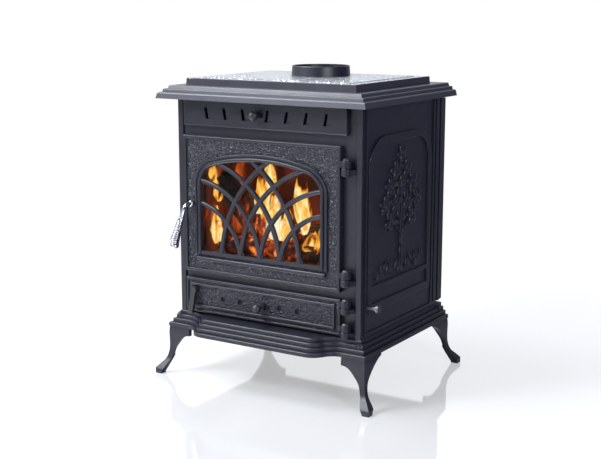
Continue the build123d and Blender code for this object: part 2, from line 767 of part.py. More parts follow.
brick_bottom = grate_z + grate_frame_thick
guard_top = brick_bottom + guard_height
with BuildPart() as log_guard:
    block(-guard_half, guard_half, guard_y - 6.5, guard_y + 5.5, brick_bottom, brick_bottom + 5)
    block(-guard_half, guard_half, guard_y - 2.5, guard_y + 2.5, guard_top - 6, guard_top)
    with Locations((0, guard_y, (brick_bottom + guard_top) / 2)):
        with GridLocations(guard_pitch, 1, guard_bars, 1):
            Box(6, 5, guard_height - 8)
save(log_guard.part, "log_guard")

brick_top = brick_bottom + brick_height
for name, side in (("left_fire_brick", -1), ("right_fire_brick", 1)):
    with BuildPart() as side_brick:
        block(side * (inner_half - brick_gap), side * (inner_half - brick_gap - brick_thick),
              brick_front, brick_back, brick_bottom, brick_top)
        chamfer(side_brick.edges(), 1)
    save(side_brick.part, name)

with BuildPart() as rear_fire_brick:
    block(-rear_brick_half, rear_brick_half, back_inner - 1 - brick_thick, back_inner - 1,
          brick_bottom, brick_top)
    chamfer(rear_fire_brick.edges(), 1)
save(rear_fire_brick.part, "rear_fire_brick")

with BuildPart() as baffle_plate:
    block(-baffle_half, baffle_half, baffle_front, baffle_back, brick_top, brick_top + baffle_thick)
    block(-baffle_half, baffle_half, baffle_front, baffle_front + baffle_thick,
          brick_top, brick_top + baffle_lip)
    fillet(baffle_plate.edges().filter_by(Axis.X).sort_by(Axis.Z)[-2:], 2)
save(baffle_plate.part, "baffle_plate")

with BuildPart() as ash_pan:
    block(-pan_half, pan_half, pan_front, pan_back, pan_bottom, pan_top)
    block(-pan_half + pan_wall, pan_half - pan_wall, pan_front + pan_wall, pan_back - pan_wall,
          pan_bottom + pan_wall, pan_top, mode=Mode.SUBTRACT)
    block(-45, 45, pan_front - 12, pan_front, pan_top - 16, pan_top - 13)
    block(-45, 45, pan_front - 14, pan_front - 12, pan_top - 24, pan_top - 13)
save(ash_pan.part, "ash_pan")


# ================= main door =================
def window_outline(grow, bottom, mode=Mode.ADD):
    """The arched window outline grown on all sides, with square bottom corners."""
    half = window_width / 2 + grow
    corner, crown = window_corner + grow, window_crown + grow
    crown_z = window_top - window_crown
    shoulder = crown_z + sqrt((crown - corner) ** 2 - (half - corner) ** 2)
    lean = degrees(asin((half - corner) / (crown - corner)))
    with BuildLine() as outline:
        Polyline((door_center, bottom), (door_center + half, bottom), (door_center + half, shoulder))
        CenterArc((door_center + half - corner, shoulder), corner, 0, 90 - lean)
        CenterArc((door_center, crown_z), crown, 90 - lean, lean)
        mirror(about=Plane.YZ.offset(door_center))
    make_face(outline.edges(), mode=mode)


def rope_ring(bottom, top, floor, depth, width, mode=Mode.ADD):
    """A ring of rope, or its groove, from the groove's floor backwards."""
    with BuildSketch(door_plane(floor)) as ring:
        with Locations((door_center, (bottom + top) / 2)):
            outer_x = door_width - 2 * rope_inset + width
            outer_z = top - bottom - 2 * rope_inset + width
            RectangleRounded(outer_x, outer_z, width + 4)
            RectangleRounded(outer_x - 2 * width, outer_z - 2 * width, 4, mode=Mode.SUBTRACT)
    extrude(ring.sketch, amount=-depth, mode=mode)


def knuckles(spots):
    """Door hinge knuckles with webs running onto the door's edge."""
    for low, body_knuckle, length in spots:
        start = low + body_knuckle + 0.5
        add(barrel(start, length))
        with BuildSketch(Plane.XY.offset(start + hinge_round)) as web:
            rect(door_right - 4, hinge_x, body_front - hinge_p - 3, body_front - door_gap - 2)
        extrude(web.sketch, amount=length - 2 * hinge_round)
        upright(hinge_x, body_front - hinge_p, low, low + body_knuckle + length + 1,
                hinge_pin + shaft_gap, mode=Mode.SUBTRACT)


def rounded_front(part, radius):
    """Fillet the edges of the face furthest forward."""
    fillet(part.faces().filter_by(Axis.Y).sort_by(Axis.Y)[0].edges(), radius)


glass_floor = door_gap + glass_thick + gasket_thick
clip_spots = []
for side, turn in ((-1, 0), (1, 180)):
    x = door_center + side * (window_width / 2 + glass_lap + 11)
    clip_spots.append((x, window_sill + clip_spread_z, turn))
    clip_spots.append((x, window_sill + 2.4 * clip_spread_z, turn))
    clip_spots.append((door_center + side * clip_spread_x, window_sill - glass_lap - 11.5, 90))
    clip_spots.append((door_center + side * clip_spread_x / 2, window_top + glass_lap + 9.5, 270))

lattice_sets = []
for side in (-1, 1):
    with BuildPart() as arc_set:
        with BuildSketch(door_plane(lattice_front - lattice_depth)):
            with Locations((door_center + side * lattice_center_offset, lattice_center_z)):
                for index in reversed(range(lattice_count)):
                    reach = lattice_center_offset + (index - 1) * lattice_pitch
                    radius = hypot(reach, window_sill - lattice_center_z)
                    Circle(radius + lattice_bar_width / 2)
                    Circle(radius - lattice_bar_width / 2, mode=Mode.SUBTRACT)
        extrude(amount=lattice_depth)
        fillet(arc_set.edges().group_by(Axis.Y)[0], lattice_round)
    lattice_sets.append(arc_set.part)

with BuildPart() as lattice:
    for arcs in lattice_sets:
        add(arcs)
    with BuildSketch(door_plane(lattice_front - lattice_depth)):
        for index in range(-2, 3):
            x = door_center + index * lattice_pitch
            with BuildLine():
                Polyline((x - 11, window_sill - 1), (x + 11, window_sill - 1), (x, window_sill + 22),
                         close=True)
            make_face()
    extrude(amount=lattice_depth - 2.5)
    with BuildSketch(door_plane(0)):
        window_outline(3, window_sill - 3)
    extrude(amount=lattice_front + 5, mode=Mode.INTERSECT)

window_reeds = []
for inner, outer, front, edge_round in window_bars:
    with BuildPart() as window_reed:
        with BuildSketch(door_plane(door_field - 1)):
            window_outline(outer, window_sill - 8)
            window_outline(inner, window_sill - 9, mode=Mode.SUBTRACT)
        extrude(amount=front - door_field + 1)
        reed_front = window_reed.faces().filter_by(Axis.Y).sort_by(Axis.Y)[0]
        fillet(reed_front.edges().filter_by(lambda edge: edge.center().Z > window_sill), edge_round)
    window_reeds.append(window_reed.part)

with BuildPart() as door_casting:
    with BuildSketch(door_plane(door_gap)):
        rect(door_left, door_right, main_bottom, main_top)
    extrude(amount=door_field - door_gap)
    with BuildSketch(door_plane(door_field)):
        rect(door_left, door_right, main_bottom, main_top)
        rect(door_left + door_rim_width, door_right - door_rim_width,
             main_bottom + door_rim_width, main_top - door_rim_width, mode=Mode.SUBTRACT)
    extrude(amount=door_rim - door_field)
    rounded_front(door_casting, 2.5)
    for reed in window_reeds:
        add(reed)
    with BuildSketch(door_plane(door_field)):
        rect(door_center - window_width / 2 - 18, door_center + window_width / 2 + 18,
             window_sill - 8, window_sill)
    extrude(amount=4)
    with BuildSketch(door_plane(door_field)) as sill:
        rect(door_center - 171, door_center + 171, window_sill - 23.5, window_sill - 14)
    extrude(amount=7)
    rounded_front(door_casting, 3)
    with BuildSketch(door_plane(0)):
        window_outline(0, window_sill)
    extrude(amount=30, mode=Mode.SUBTRACT)
    with BuildSketch(door_plane(door_gap)):
        window_outline(glass_lap + glass_edge_gap, window_sill - glass_lap - glass_edge_gap)
    extrude(amount=glass_floor - door_gap, mode=Mode.SUBTRACT)
    add(lattice.part)
    rope_ring(main_bottom, main_top, rope_floor, rope_floor, rope_groove, mode=Mode.SUBTRACT)
    knuckles(main_hinges)
    along_y(latch_x, latch_z, body_front - latch_hub_p + latch_hub + 0.5, body_front - door_gap, latch_boss)
    along_y(latch_x, latch_z, body_front - latch_hub_p, body_front, latch_shaft + shaft_gap,
            mode=Mode.SUBTRACT)
    for x, z, _ in clip_spots:
        along_y(x, z, body_front - 7, body_front, 2.55, mode=Mode.SUBTRACT)
save(door_casting.part, "door_casting")

with BuildPart() as door_glass:
    with BuildSketch(door_plane(door_gap)):
        window_outline(glass_lap, window_sill - glass_lap)
    extrude(amount=glass_thick)
save(door_glass.part, "door_glass")

with BuildPart() as glass_gasket:
    with BuildSketch(door_plane(door_gap + glass_thick)):
        window_outline(glass_lap - 0.5, window_sill - glass_lap + 0.5)
        window_outline(glass_lap - 8, window_sill - glass_lap + 8, mode=Mode.SUBTRACT)
    extrude(amount=gasket_thick)
save(glass_gasket.part, "glass_gasket")

with BuildPart() as glass_clips:
    for x, z, turn in clip_spots:
        with BuildSketch(door_plane(door_gap)):
            with Locations(Location((x, z, 0), (0, 0, turn))):
                with Locations((4.5, 0)):
                    RectangleRounded(23, 12, 2)
                Circle(2.55, mode=Mode.SUBTRACT)
        extrude(amount=-clip_thick)
save(glass_clips.part, "glass_clips")

with BuildPart() as clip_screws:
    for x, z, _ in clip_spots:
        along_y(x, z, body_front - 6.5, body_front - door_gap + clip_thick, 2.5)
        along_y(x, z, body_front - door_gap + clip_thick, body_front - door_gap + clip_thick + 2.5, 4.5)
save(clip_screws.part, "clip_screws")

with BuildPart() as door_rope:
    rope_ring(main_bottom, main_top, rope_floor, rope_floor - 0.4, rope_size)
    fillet(door_rope.faces().filter_by(Axis.Y).edges(), 2.5)
save(door_rope.part, "door_rope")

with BuildPart() as hinge_pins:
    for low, body_knuckle, length in main_hinges + ash_hinges:
        top = low + body_knuckle + length + 0.5 + slide_gap
        upright(hinge_x, body_front - hinge_p, low, top, hinge_pin)
        upright(hinge_x, body_front - hinge_p, top, top + 2, hinge_head)
        with Locations((hinge_x, body_front - hinge_p, top + 3)):
            Cone(hinge_head, hinge_head - 3, 2)
save(hinge_pins.part, "hinge_pins")


# ================= main latch =================
def latch_tongue_shape(x, z, length):
    """A hanging tongue behind the front plate, pivoting on its spindle."""
    with BuildSketch(door_plane(-front_wall - 0.6)) as tongue:
        with Locations((x, z)):
            Circle(tongue_width / 2 + 1)
        rect(x - tongue_width / 2, x + tongue_width / 2, z - length, z)
        with Locations((x, z)):
            Circle(latch_shaft + 0.03, mode=Mode.SUBTRACT)
    extrude(tongue.sketch, amount=-tongue_thick)


def latch_nut(x, z):
    """The hexagon nut behind a tongue."""
    with BuildSketch(door_plane(-front_wall - 0.6 - tongue_thick)) as nut:
        with Locations((x, z)):
            RegularPolygon(6.4, 6)
            Circle(latch_shaft + 0.03, mode=Mode.SUBTRACT)
    extrude(nut.sketch, amount=-5)


spindle_back = body_front + front_wall + 0.6 + tongue_thick + 6.5
with BuildPart() as latch_spindle:
    along_y(latch_x, latch_z, body_front - latch_hub_p - 2, spindle_back, latch_shaft)
save(latch_spindle.part, "latch_spindle")

latch_axis = Axis((latch_x, 0, latch_z), (0, 1, 0))
bend_p = latch_hub_p + handle_reach
rod_y_front = body_front - bend_p
grip_top = latch_z - handle_collar_drop
grip_bottom = grip_top - grip_length
with BuildPart() as handle_rod:
    with BuildLine(Plane.YZ.offset(latch_x)) as handle_path:
        reach = Line((body_front - latch_hub_p - 3, latch_z), (rod_y_front + handle_bend, latch_z))
        bend = JernArc(reach @ 1, (-1, 0), handle_bend, 90)
        drop = Line(bend @ 1, (rod_y_front, grip_bottom - grip_cap + 4))
    with BuildSketch(Plane(origin=reach @ 0, z_dir=(0, -1, 0))):
        Circle(handle_rod_radius)
    sweep()
    with Locations((latch_x, body_front - latch_hub_p, latch_z)):
        Sphere(latch_hub)
    upright(latch_x, rod_y_front, grip_top, grip_top + 4, handle_rod_radius + 1.8)
    along_y(latch_x, latch_z, body_front - latch_hub_p - 2, body_front, latch_shaft + 0.03,
            mode=Mode.SUBTRACT)
    fillet(handle_rod.edges().filter_by(GeomType.CIRCLE).filter_by(
        lambda edge: abs(edge.radius - handle_rod_radius - 1.8) < 0.01), 1.2)
save(handle_rod.part.rotate(latch_axis, handle_tilt), "handle_rod")

with BuildPart() as coil_grip:
    ring = grip_length / grip_rings
    spread = (grip_end_radius - grip_top_radius) / grip_rings
    with BuildSketch(Plane.XZ):
        with BuildLine():
            start = (handle_rod_radius + 0.03, 0)
            corner = (grip_top_radius, 0)
            Line(start, corner)
            for index in range(grip_rings):
                radius = grip_top_radius + index * spread
                next_corner = (radius + spread, -(index + 1) * ring)
                ThreePointArc(corner, (radius + spread / 2 + 1.4, -(index + 0.5) * ring), next_corner)
                corner = next_corner
            Polyline(corner, (start[0], -grip_length), start)
        make_face()
    revolve(axis=Axis.Z)
coil_grip.part.position = (latch_x, rod_y_front, grip_top)
save(coil_grip.part.rotate(latch_axis, handle_tilt), "coil_grip")

with BuildPart() as grip_end_cap:
    upright(latch_x, rod_y_front, grip_bottom - grip_cap, grip_bottom, grip_end_radius - 1.5)
    fillet(grip_end_cap.faces().filter_by(Axis.Z).sort_by(Axis.Z)[0].edges(), 4.5)
    fillet(grip_end_cap.faces().filter_by(Axis.Z).sort_by(Axis.Z)[-1].edges(), 1.5)
    upright(latch_x, rod_y_front, grip_bottom - grip_cap + 4, grip_bottom,
            handle_rod_radius + 0.03, mode=Mode.SUBTRACT)
save(grip_end_cap.part.rotate(latch_axis, handle_tilt), "grip_end_cap")

with BuildPart() as latch_tongue:
    latch_tongue_shape(latch_x, latch_z, tongue_length)
save(latch_tongue.part, "latch_tongue")

with BuildPart() as tongue_nut:
    latch_nut(latch_x, latch_z)
save(tongue_nut.part, "tongue_nut")

# ================= ash door =================
air_holes = [air_hole_center + side * (air_hole_first + index * air_hole_pitch)
             for side in (-1, 1) for index in range(2)]
air_cavity = ash_field - 3
slider_front = air_cavity - slide_gap
slider_back = door_gap + slide_gap
slider_left, slider_right = -163.0, 114.0
air_slider_low, air_slider_high = 179.0, 206.0
with BuildPart() as ash_door_casting:
    with BuildSketch(door_plane(door_gap)):
        rect(door_left, door_right, ash_bottom, ash_top)
    extrude(amount=ash_field - door_gap)
    with BuildSketch(door_plane(ash_field)):
        rect(door_left, door_right, ash_bottom, ash_top)
        rect(door_left + 6, door_right - 6, ash_bottom + 6, ash_top - 6, mode=Mode.SUBTRACT)
    extrude(amount=ash_rim - ash_field)
    rounded_front(ash_door_casting, 2)
    with BuildSketch(door_plane(ash_field)):
        rect(door_left + 13, door_right - 13, ash_bottom + 12, ash_top - 12)
        rect(door_left + 20, door_right - 20, ash_bottom + 18, ash_top - 18, mode=Mode.SUBTRACT)
    extrude(amount=ash_rim + 1.5 - ash_field)
    rounded_front(ash_door_casting, 2)
    with BuildSketch(door_plane(0)):
        rect(slider_left - 1, slider_right + air_travel + 1,
             air_slider_low - slide_gap, air_slider_high + slide_gap)
    extrude(amount=air_cavity, mode=Mode.SUBTRACT)
    with BuildSketch(door_plane(0)):
        for x in air_holes:
            with Locations((x, air_hole_z)):
                Circle(air_hole)
        with Locations((ash_knob_x + air_travel / 2, ash_knob_z)):
            SlotOverall(air_travel + 2 * knob_stem + 1, 2 * knob_stem + 1)
    extrude(amount=ash_field + 5, mode=Mode.SUBTRACT)
    rope_ring(ash_bottom, ash_top, ash_rope_floor, ash_rope_floor, rope_groove, mode=Mode.SUBTRACT)
    knuckles(ash_hinges)
    along_y(ash_latch_x, ash_latch_z, body_front - ash_rim - 1, body_front - door_gap, latch_boss - 3)
    along_y(ash_latch_x, ash_latch_z, body_front - 30, body_front, latch_shaft + shaft_gap,
            mode=Mode.SUBTRACT)
    for x in (slider_left + 20, slider_right - 20):
        for z in (air_slider_low - 4, air_slider_high + 4):
            along_y(x, z, body_front - 6, body_front, 1.55, mode=Mode.SUBTRACT)
save(ash_door_casting.part, "ash_door_casting")

with BuildPart() as ash_door_rope:
    rope_ring(ash_bottom, ash_top, ash_rope_floor, ash_rope_floor - 0.4, rope_size)
    fillet(ash_door_rope.faces().filter_by(Axis.Y).edges(), 2)
save(ash_door_rope.part, "ash_door_rope")

with BuildPart() as ash_air_slider:
    with BuildSketch(door_plane(slider_back)):
        rect(slider_left, slider_right, air_slider_low, air_slider_high)
        for x in air_holes:
            with Locations((x - air_travel, air_hole_z)):
                Circle(air_hole + 0.5, mode=Mode.SUBTRACT)
        with Locations((ash_knob_x, ash_knob_z)):
            Circle(knob_stem + 0.03, mode=Mode.SUBTRACT)
    extrude(amount=slider_front - slider_back)
save(ash_air_slider.part, "ash_air_slider")

with BuildPart() as ash_air_knob:
    knob(ash_knob_x, ash_knob_z, slider_back, ash_knob_p, knob_radius - 0.5)
    along_y(ash_knob_x, ash_knob_z, body_front - ash_field - 3.3, body_front - ash_field - slide_gap,
            knob_radius - 3)
save(ash_air_knob.part, "ash_air_knob")

clip_xs = (slider_left + 20, slider_right - 20)
with BuildPart() as slider_clips:
    for x in clip_xs:
        with BuildSketch(door_plane(door_gap)):
            rect(x - 6, x + 6, air_slider_low - 8, air_slider_high + 8)
            for z in (air_slider_low - 4, air_slider_high + 4):
                with Locations((x, z)):
                    Circle(1.55, mode=Mode.SUBTRACT)
        extrude(amount=-2)
save(slider_clips.part, "slider_clips")

with BuildPart() as slider_clip_screws:
    for x in clip_xs:
        for z in (air_slider_low - 4, air_slider_high + 4):
            along_y(x, z, body_front - 5.5, body_front + 1, 1.5)
            along_y(x, z, body_front + 1, body_front + 3, 2.8)
save(slider_clip_screws.part, "slider_clip_screws")

with BuildPart() as ash_spindle:
    along_y(ash_latch_x, ash_latch_z, body_front - ash_latch_p - 6, spindle_back, latch_shaft)
save(ash_spindle.part, "ash_spindle")

lever_back = body_front - ash_rim - 1 - slide_gap
with BuildPart() as ash_lever:
    along_y(ash_latch_x, ash_latch_z, lever_back - 9, lever_back, 8)
    with BuildSketch(Plane.YZ.offset(ash_latch_x)):
        with BuildLine():
            Polyline((lever_back - 1, ash_latch_z), (lever_back - 9, ash_latch_z),
                     (lever_back - 13, ash_latch_z - 14), (lever_back - 22, ash_latch_z - lever_drop + 6),
                     (lever_back - 22, ash_latch_z - lever_drop + 1),
                     (lever_back - 15, ash_latch_z - lever_drop),
                     (lever_back - 4, ash_latch_z - 25), close=True)
        make_face()
    extrude(amount=lever_width / 2, both=True)
    fillet(ash_lever.edges().filter_by(lambda edge: edge.center().Z < ash_latch_z - 30), 1.5)
    along_y(ash_latch_x, ash_latch_z, body_front - ash_latch_p - 6, body_front, latch_shaft + 0.03,
            mode=Mode.SUBTRACT)
save(ash_lever.part, "ash_lever")

with BuildPart() as ash_tongue:
    latch_tongue_shape(ash_latch_x, ash_latch_z, tongue_length)
save(ash_tongue.part, "ash_tongue")

with BuildPart() as ash_tongue_nut:
    latch_nut(ash_latch_x, ash_latch_z)
save(ash_tongue_nut.part, "ash_tongue_nut")
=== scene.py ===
# %% [markdown]
# # A cast-iron wood burning stove
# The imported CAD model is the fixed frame: every casting, door and bolt is already
# in place, in metres. This file gives those castings their finishes, and adds what
# belongs to looks alone: the fire, the carved relief on the sides and the spring
# grip on the door handle. Each step first says what the real thing is.

# %% Load the frame
import bpy
import json
import math
import random
from mathutils import Matrix, Vector


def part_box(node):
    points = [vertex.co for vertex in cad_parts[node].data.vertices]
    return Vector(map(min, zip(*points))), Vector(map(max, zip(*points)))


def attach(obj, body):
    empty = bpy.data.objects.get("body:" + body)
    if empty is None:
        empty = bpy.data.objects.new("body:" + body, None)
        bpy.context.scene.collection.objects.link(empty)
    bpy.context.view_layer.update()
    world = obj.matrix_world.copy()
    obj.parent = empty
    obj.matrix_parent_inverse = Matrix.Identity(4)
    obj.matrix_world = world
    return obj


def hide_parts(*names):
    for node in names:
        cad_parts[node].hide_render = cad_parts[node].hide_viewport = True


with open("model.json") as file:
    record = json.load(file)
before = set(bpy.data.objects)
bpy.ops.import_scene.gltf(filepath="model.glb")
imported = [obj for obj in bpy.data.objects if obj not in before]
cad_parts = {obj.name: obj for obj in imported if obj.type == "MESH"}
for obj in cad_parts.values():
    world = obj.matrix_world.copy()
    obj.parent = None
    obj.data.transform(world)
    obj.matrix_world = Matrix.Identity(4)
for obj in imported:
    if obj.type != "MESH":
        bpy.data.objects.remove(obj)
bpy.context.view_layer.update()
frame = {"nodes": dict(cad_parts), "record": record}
nodes = frame["nodes"]
print("castings and fittings:", len(nodes))

# %% [markdown]
# ## Camera
# A stove this size is looked at from a step or two away, a little to its right and
# from just above the hob. The camera keeps one distance from a target point, and
# two plain angles turn it round that point and raise it.

# %% Place the camera
scene = bpy.context.scene
camera_turn = math.radians(32.23)
camera_rise = math.radians(11.05)
camera_distance = 2.7566
lens_length = 69.7
target = Vector((-0.0366, 0.0242, 0.3294))
outward = Vector((math.sin(camera_turn) * math.cos(camera_rise),
                  -math.cos(camera_turn) * math.cos(camera_rise),
                  math.sin(camera_rise)))
camera_data = bpy.data.cameras.new("camera")
camera = bpy.data.objects.new("camera", camera_data)
scene.collection.objects.link(camera)
camera.location = target + outward * camera_distance
camera.rotation_euler = (-outward).to_track_quat("-Z", "Y").to_euler()
camera_data.sensor_width = 36.0
camera_data.lens = lens_length
scene.camera = camera
print("camera at", [round(value, 3) for value in camera.location])

# %% [markdown]
# ## Small helpers
# Materials are trees of nodes. A few short helpers keep each material readable:
# one starts an empty material, one adds a node with its settings, one adds a named
# socket to a node group, and one sets the stops of a colour ramp.

# %% Helpers for node trees
def new_material(name):
    """An empty node material, with its tree and the output node."""
    material = bpy.data.materials.new(name)
    material.use_nodes = True
    tree = material.node_tree
    tree.nodes.clear()
    return material, tree, tree.nodes.new("ShaderNodeOutputMaterial")


def node(tree, kind, values=None, **settings):
    """Add a node; settings are its own options, values go to its input sockets."""
    item = tree.nodes.new("ShaderNode" + kind)
    for key, value in settings.items():
        setattr(item, key, value)
    for key, value in (values or {}).items():
        item.inputs[key].default_value = value
    return item


def group_socket(group, name, kind, default=None, output=False):
    """Add one named input or output to a node group."""
    way = "OUTPUT" if output else "INPUT"
    socket = group.interface.new_socket(name=name, in_out=way, socket_type=kind)
    if default is not None:
        socket.default_value = default
    return socket


def ramp_stops(ramp, stops):
    """Set a colour ramp's stops from (place, colour) pairs."""
    elements = ramp.color_ramp.elements
    while len(elements) < len(stops):
        elements.new(0.5)
    for element, (place, color) in zip(elements, stops):
        element.position = place
        element.color = (*color, 1.0)


print("helpers for node trees: 4")

# %% [markdown]
# ## The room
# Black iron only shows its form through what it reflects, so the walls of the room
# matter more than the lamps. They are grey at the front and on the left, white
# behind the stove, where the hob and the gloss floor look, and nearly black on the
# right, which keeps the side panel dark. The eye itself, also through the glass of
# the door, sees plain white.

# %% Build the room
scene.view_settings.view_transform = "Standard"
front_wall = (0.46, 0.48, 0.56, 1.0)
rear_wall = (0.93, 0.96, 1.0, 1.0)
right_wall = (0.07, 0.08, 0.17, 1.0)
plain_white = (1.0, 1.0, 1.0, 1.0)

world = bpy.data.worlds.new("studio")
scene.world = world
world.use_nodes = True
tree = world.node_tree
tree.nodes.clear()
output = node(tree, "OutputWorld")
side = node(tree, "TexCoord")
split = node(tree, "SeparateXYZ")
to_rear = node(tree, "MapRange", {"From Min": 0.20, "From Max": 0.60})
to_right = node(tree, "MapRange", {"From Min": -0.25, "From Max": 0.45})
front_and_rear = node(tree, "Mix", {6: front_wall, 7: rear_wall}, data_type="RGBA")
walls = node(tree, "Mix", {7: right_wall}, data_type="RGBA")
room = node(tree, "Background", {"Strength": 1.0})
backdrop = node(tree, "Background", {"Color": plain_white, "Strength": 1.0})
path = node(tree, "LightPath")
seen = node(tree, "Math", operation="MAXIMUM")
choice = node(tree, "MixShader")
tree.links.new(side.outputs["Generated"], split.inputs[0])
tree.links.new(split.outputs["Y"], to_rear.inputs["Value"])
tree.links.new(split.outputs["X"], to_right.inputs["Value"])
tree.links.new(to_rear.outputs[0], front_and_rear.inputs[0])
tree.links.new(to_right.outputs[0], walls.inputs[0])
tree.links.new(front_and_rear.outputs[2], walls.inputs[6])
tree.links.new(walls.outputs[2], room.inputs["Color"])
tree.links.new(path.outputs["Is Camera Ray"], seen.inputs[0])
tree.links.new(path.outputs["Is Transmission Ray"], seen.inputs[1])
tree.links.new(seen.outputs[0], choice.inputs[0])
tree.links.new(room.outputs[0], choice.inputs[1])
tree.links.new(backdrop.outputs[0], choice.inputs[2])
tree.links.new(choice.outputs[0], output.inputs["Surface"])
print("room of", len(tree.nodes), "nodes")

# %% [markdown]
# ## The floor
# The floor is a sheet of white gloss board. It keeps the stove's shadow and a faint
# mirror image, and a glow that grows with the distance melts it into the white
# backdrop. To everything but the eye its right part is a black flag, so that the
# side panel has something dark to reflect.

# %% Lay the floor
board_white = 0.95
gloss_share = 0.55
floor_material, tree, output = new_material("white_floor")
board = node(tree, "BsdfPrincipled", {"Roughness": 0.8})
gloss = node(tree, "BsdfAnisotropic", {"Color": plain_white, "Roughness": 0.06})
coated = node(tree, "MixShader", {0: gloss_share})
glow = node(tree, "Emission", {"Color": plain_white, "Strength": 1.0})
place = node(tree, "TexCoord")
split = node(tree, "SeparateXYZ")
flag = node(tree, "MapRange", {"From Min": 0.25, "From Max": 0.60,
                               "To Min": board_white, "To Max": 0.08})
path = node(tree, "LightPath")
bare = node(tree, "Mix", {3: board_white}, data_type="FLOAT")
far = node(tree, "VectorMath", operation="LENGTH")
fade = node(tree, "MapRange", {"From Min": 0.75, "From Max": 1.35, "To Min": 0.42, "To Max": 1.0},
            interpolation_type="SMOOTHSTEP")
shown = node(tree, "Math", operation="MULTIPLY")
sheet = node(tree, "MixShader")
tree.links.new(place.outputs["Object"], split.inputs[0])
tree.links.new(split.outputs["X"], flag.inputs["Value"])
tree.links.new(path.outputs["Is Camera Ray"], bare.inputs[0])
tree.links.new(flag.outputs[0], bare.inputs[2])
tree.links.new(bare.outputs[0], board.inputs["Base Color"])
tree.links.new(board.outputs[0], coated.inputs[1])
tree.links.new(gloss.outputs[0], coated.inputs[2])
tree.links.new(place.outputs["Object"], far.inputs[0])
tree.links.new(far.outputs["Value"], fade.inputs["Value"])
tree.links.new(fade.outputs[0], shown.inputs[0])
tree.links.new(path.outputs["Is Camera Ray"], shown.inputs[1])
tree.links.new(shown.outputs[0], sheet.inputs[0])
tree.links.new(coated.outputs[0], sheet.inputs[1])
tree.links.new(glow.outputs[0], sheet.inputs[2])
tree.links.new(sheet.outputs[0], output.inputs["Surface"])

bpy.ops.object.select_all(action="DESELECT")
bpy.ops.mesh.primitive_plane_add(size=12, location=(0, 0, 0))
floor = bpy.context.object
floor.name = "floor"
floor.data.materials.append(floor_material)
print("floor laid")

# %% [markdown]
# ## Lamps
# The key lamp stands high at the front left and the top lamp above it lights the
# mouldings' upper faces. A weak fill opens the shadows of the front, and a small
# edge lamp at the right draws the relief on the side panel.

# %% Hang the lamps
def soft_lamp(name, place, aim, size, power):
    """A square lamp of slightly cool light that looks at a point."""
    data = bpy.data.lights.new(name, "AREA")
    data.shape = "SQUARE"
    data.size = size
    data.energy = power
    data.color = (0.90, 0.94, 1.0)
    lamp = bpy.data.objects.new(name, data)
    scene.collection.objects.link(lamp)
    lamp.location = place
    lamp.rotation_euler = (Vector(aim) - Vector(place)).to_track_quat("-Z", "Y").to_euler()


soft_lamp("key_lamp", place=(-1.5, -2.0, 2.3), aim=(0, 0, 0.45), size=0.8, power=85)
soft_lamp("fill_lamp", place=(-0.3, -3.0, 0.9), aim=(0, 0, 0.3), size=1.8, power=5)
soft_lamp("top_lamp", place=(-1.1, -0.55, 2.4), aim=(0, 0, 0.6), size=1.3, power=80)
soft_lamp("edge_lamp", place=(1.7, -1.1, 1.1), aim=(0.24, 0, 0.4), size=0.45, power=20)
print("lamps:", len(bpy.data.lights))

# %% [markdown]
# ## Cast iron
# The castings are sand-cast iron under satin black stove paint. The skin is never
# flat: it has a fine sand grain and a broad, faint unevenness in colour and gloss.
# One node group makes that skin, and every cast-iron finish uses it.

# %% The cast skin as a node group
cast_skin = bpy.data.node_groups.new("cast_skin", "ShaderNodeTree")
group_socket(cast_skin, "Grain", "NodeSocketFloat", 0.5)
group_socket(cast_skin, "Dark", "NodeSocketColor", (0.02, 0.02, 0.024, 1.0))
group_socket(cast_skin, "Light", "NodeSocketColor", (0.035, 0.035, 0.04, 1.0))
group_socket(cast_skin, "Color", "NodeSocketColor", output=True)
group_socket(cast_skin, "Roughness", "NodeSocketFloat", output=True)
group_socket(cast_skin, "Height", "NodeSocketFloat", output=True)
entry = cast_skin.nodes.new("NodeGroupInput")
leave = cast_skin.nodes.new("NodeGroupOutput")
place = node(cast_skin, "TexCoord")
sand = node(cast_skin, "TexNoise", {"Scale": 900.0, "Detail": 3.0})
uneven = node(cast_skin, "TexNoise", {"Scale": 38.0, "Detail": 4.0})
shade = node(cast_skin, "Mix", data_type="RGBA")
rough = node(cast_skin, "MapRange", {"To Min": 0.30, "To Max": 0.48})
height = node(cast_skin, "Math", operation="MULTIPLY")
cast_skin.links.new(place.outputs["Object"], sand.inputs["Vector"])
cast_skin.links.new(place.outputs["Object"], uneven.inputs["Vector"])
cast_skin.links.new(uneven.outputs["Fac"], shade.inputs[0])
cast_skin.links.new(entry.outputs["Dark"], shade.inputs[6])
cast_skin.links.new(entry.outputs["Light"], shade.inputs[7])
cast_skin.links.new(shade.outputs[2], leave.inputs["Color"])
cast_skin.links.new(uneven.outputs["Fac"], rough.inputs["Value"])
cast_skin.links.new(rough.outputs[0], leave.inputs["Roughness"])
cast_skin.links.new(sand.outputs["Fac"], height.inputs[0])
cast_skin.links.new(entry.outputs["Grain"], height.inputs[1])
cast_skin.links.new(height.outputs[0], leave.inputs["Height"])
print("nodes in the cast skin:", len(cast_skin.nodes))

# %% [markdown]
# ## Hammered panels
# The fields of both doors and the pad on the hob are cast with a hammered, leathery
# pattern. It lies only on one flat face of each casting, so the group takes that
# face's axis and place, and leaves the pattern out anywhere else. The dents are
# cells of a Voronoi pattern, and a noise that shifts them hides their regularity.

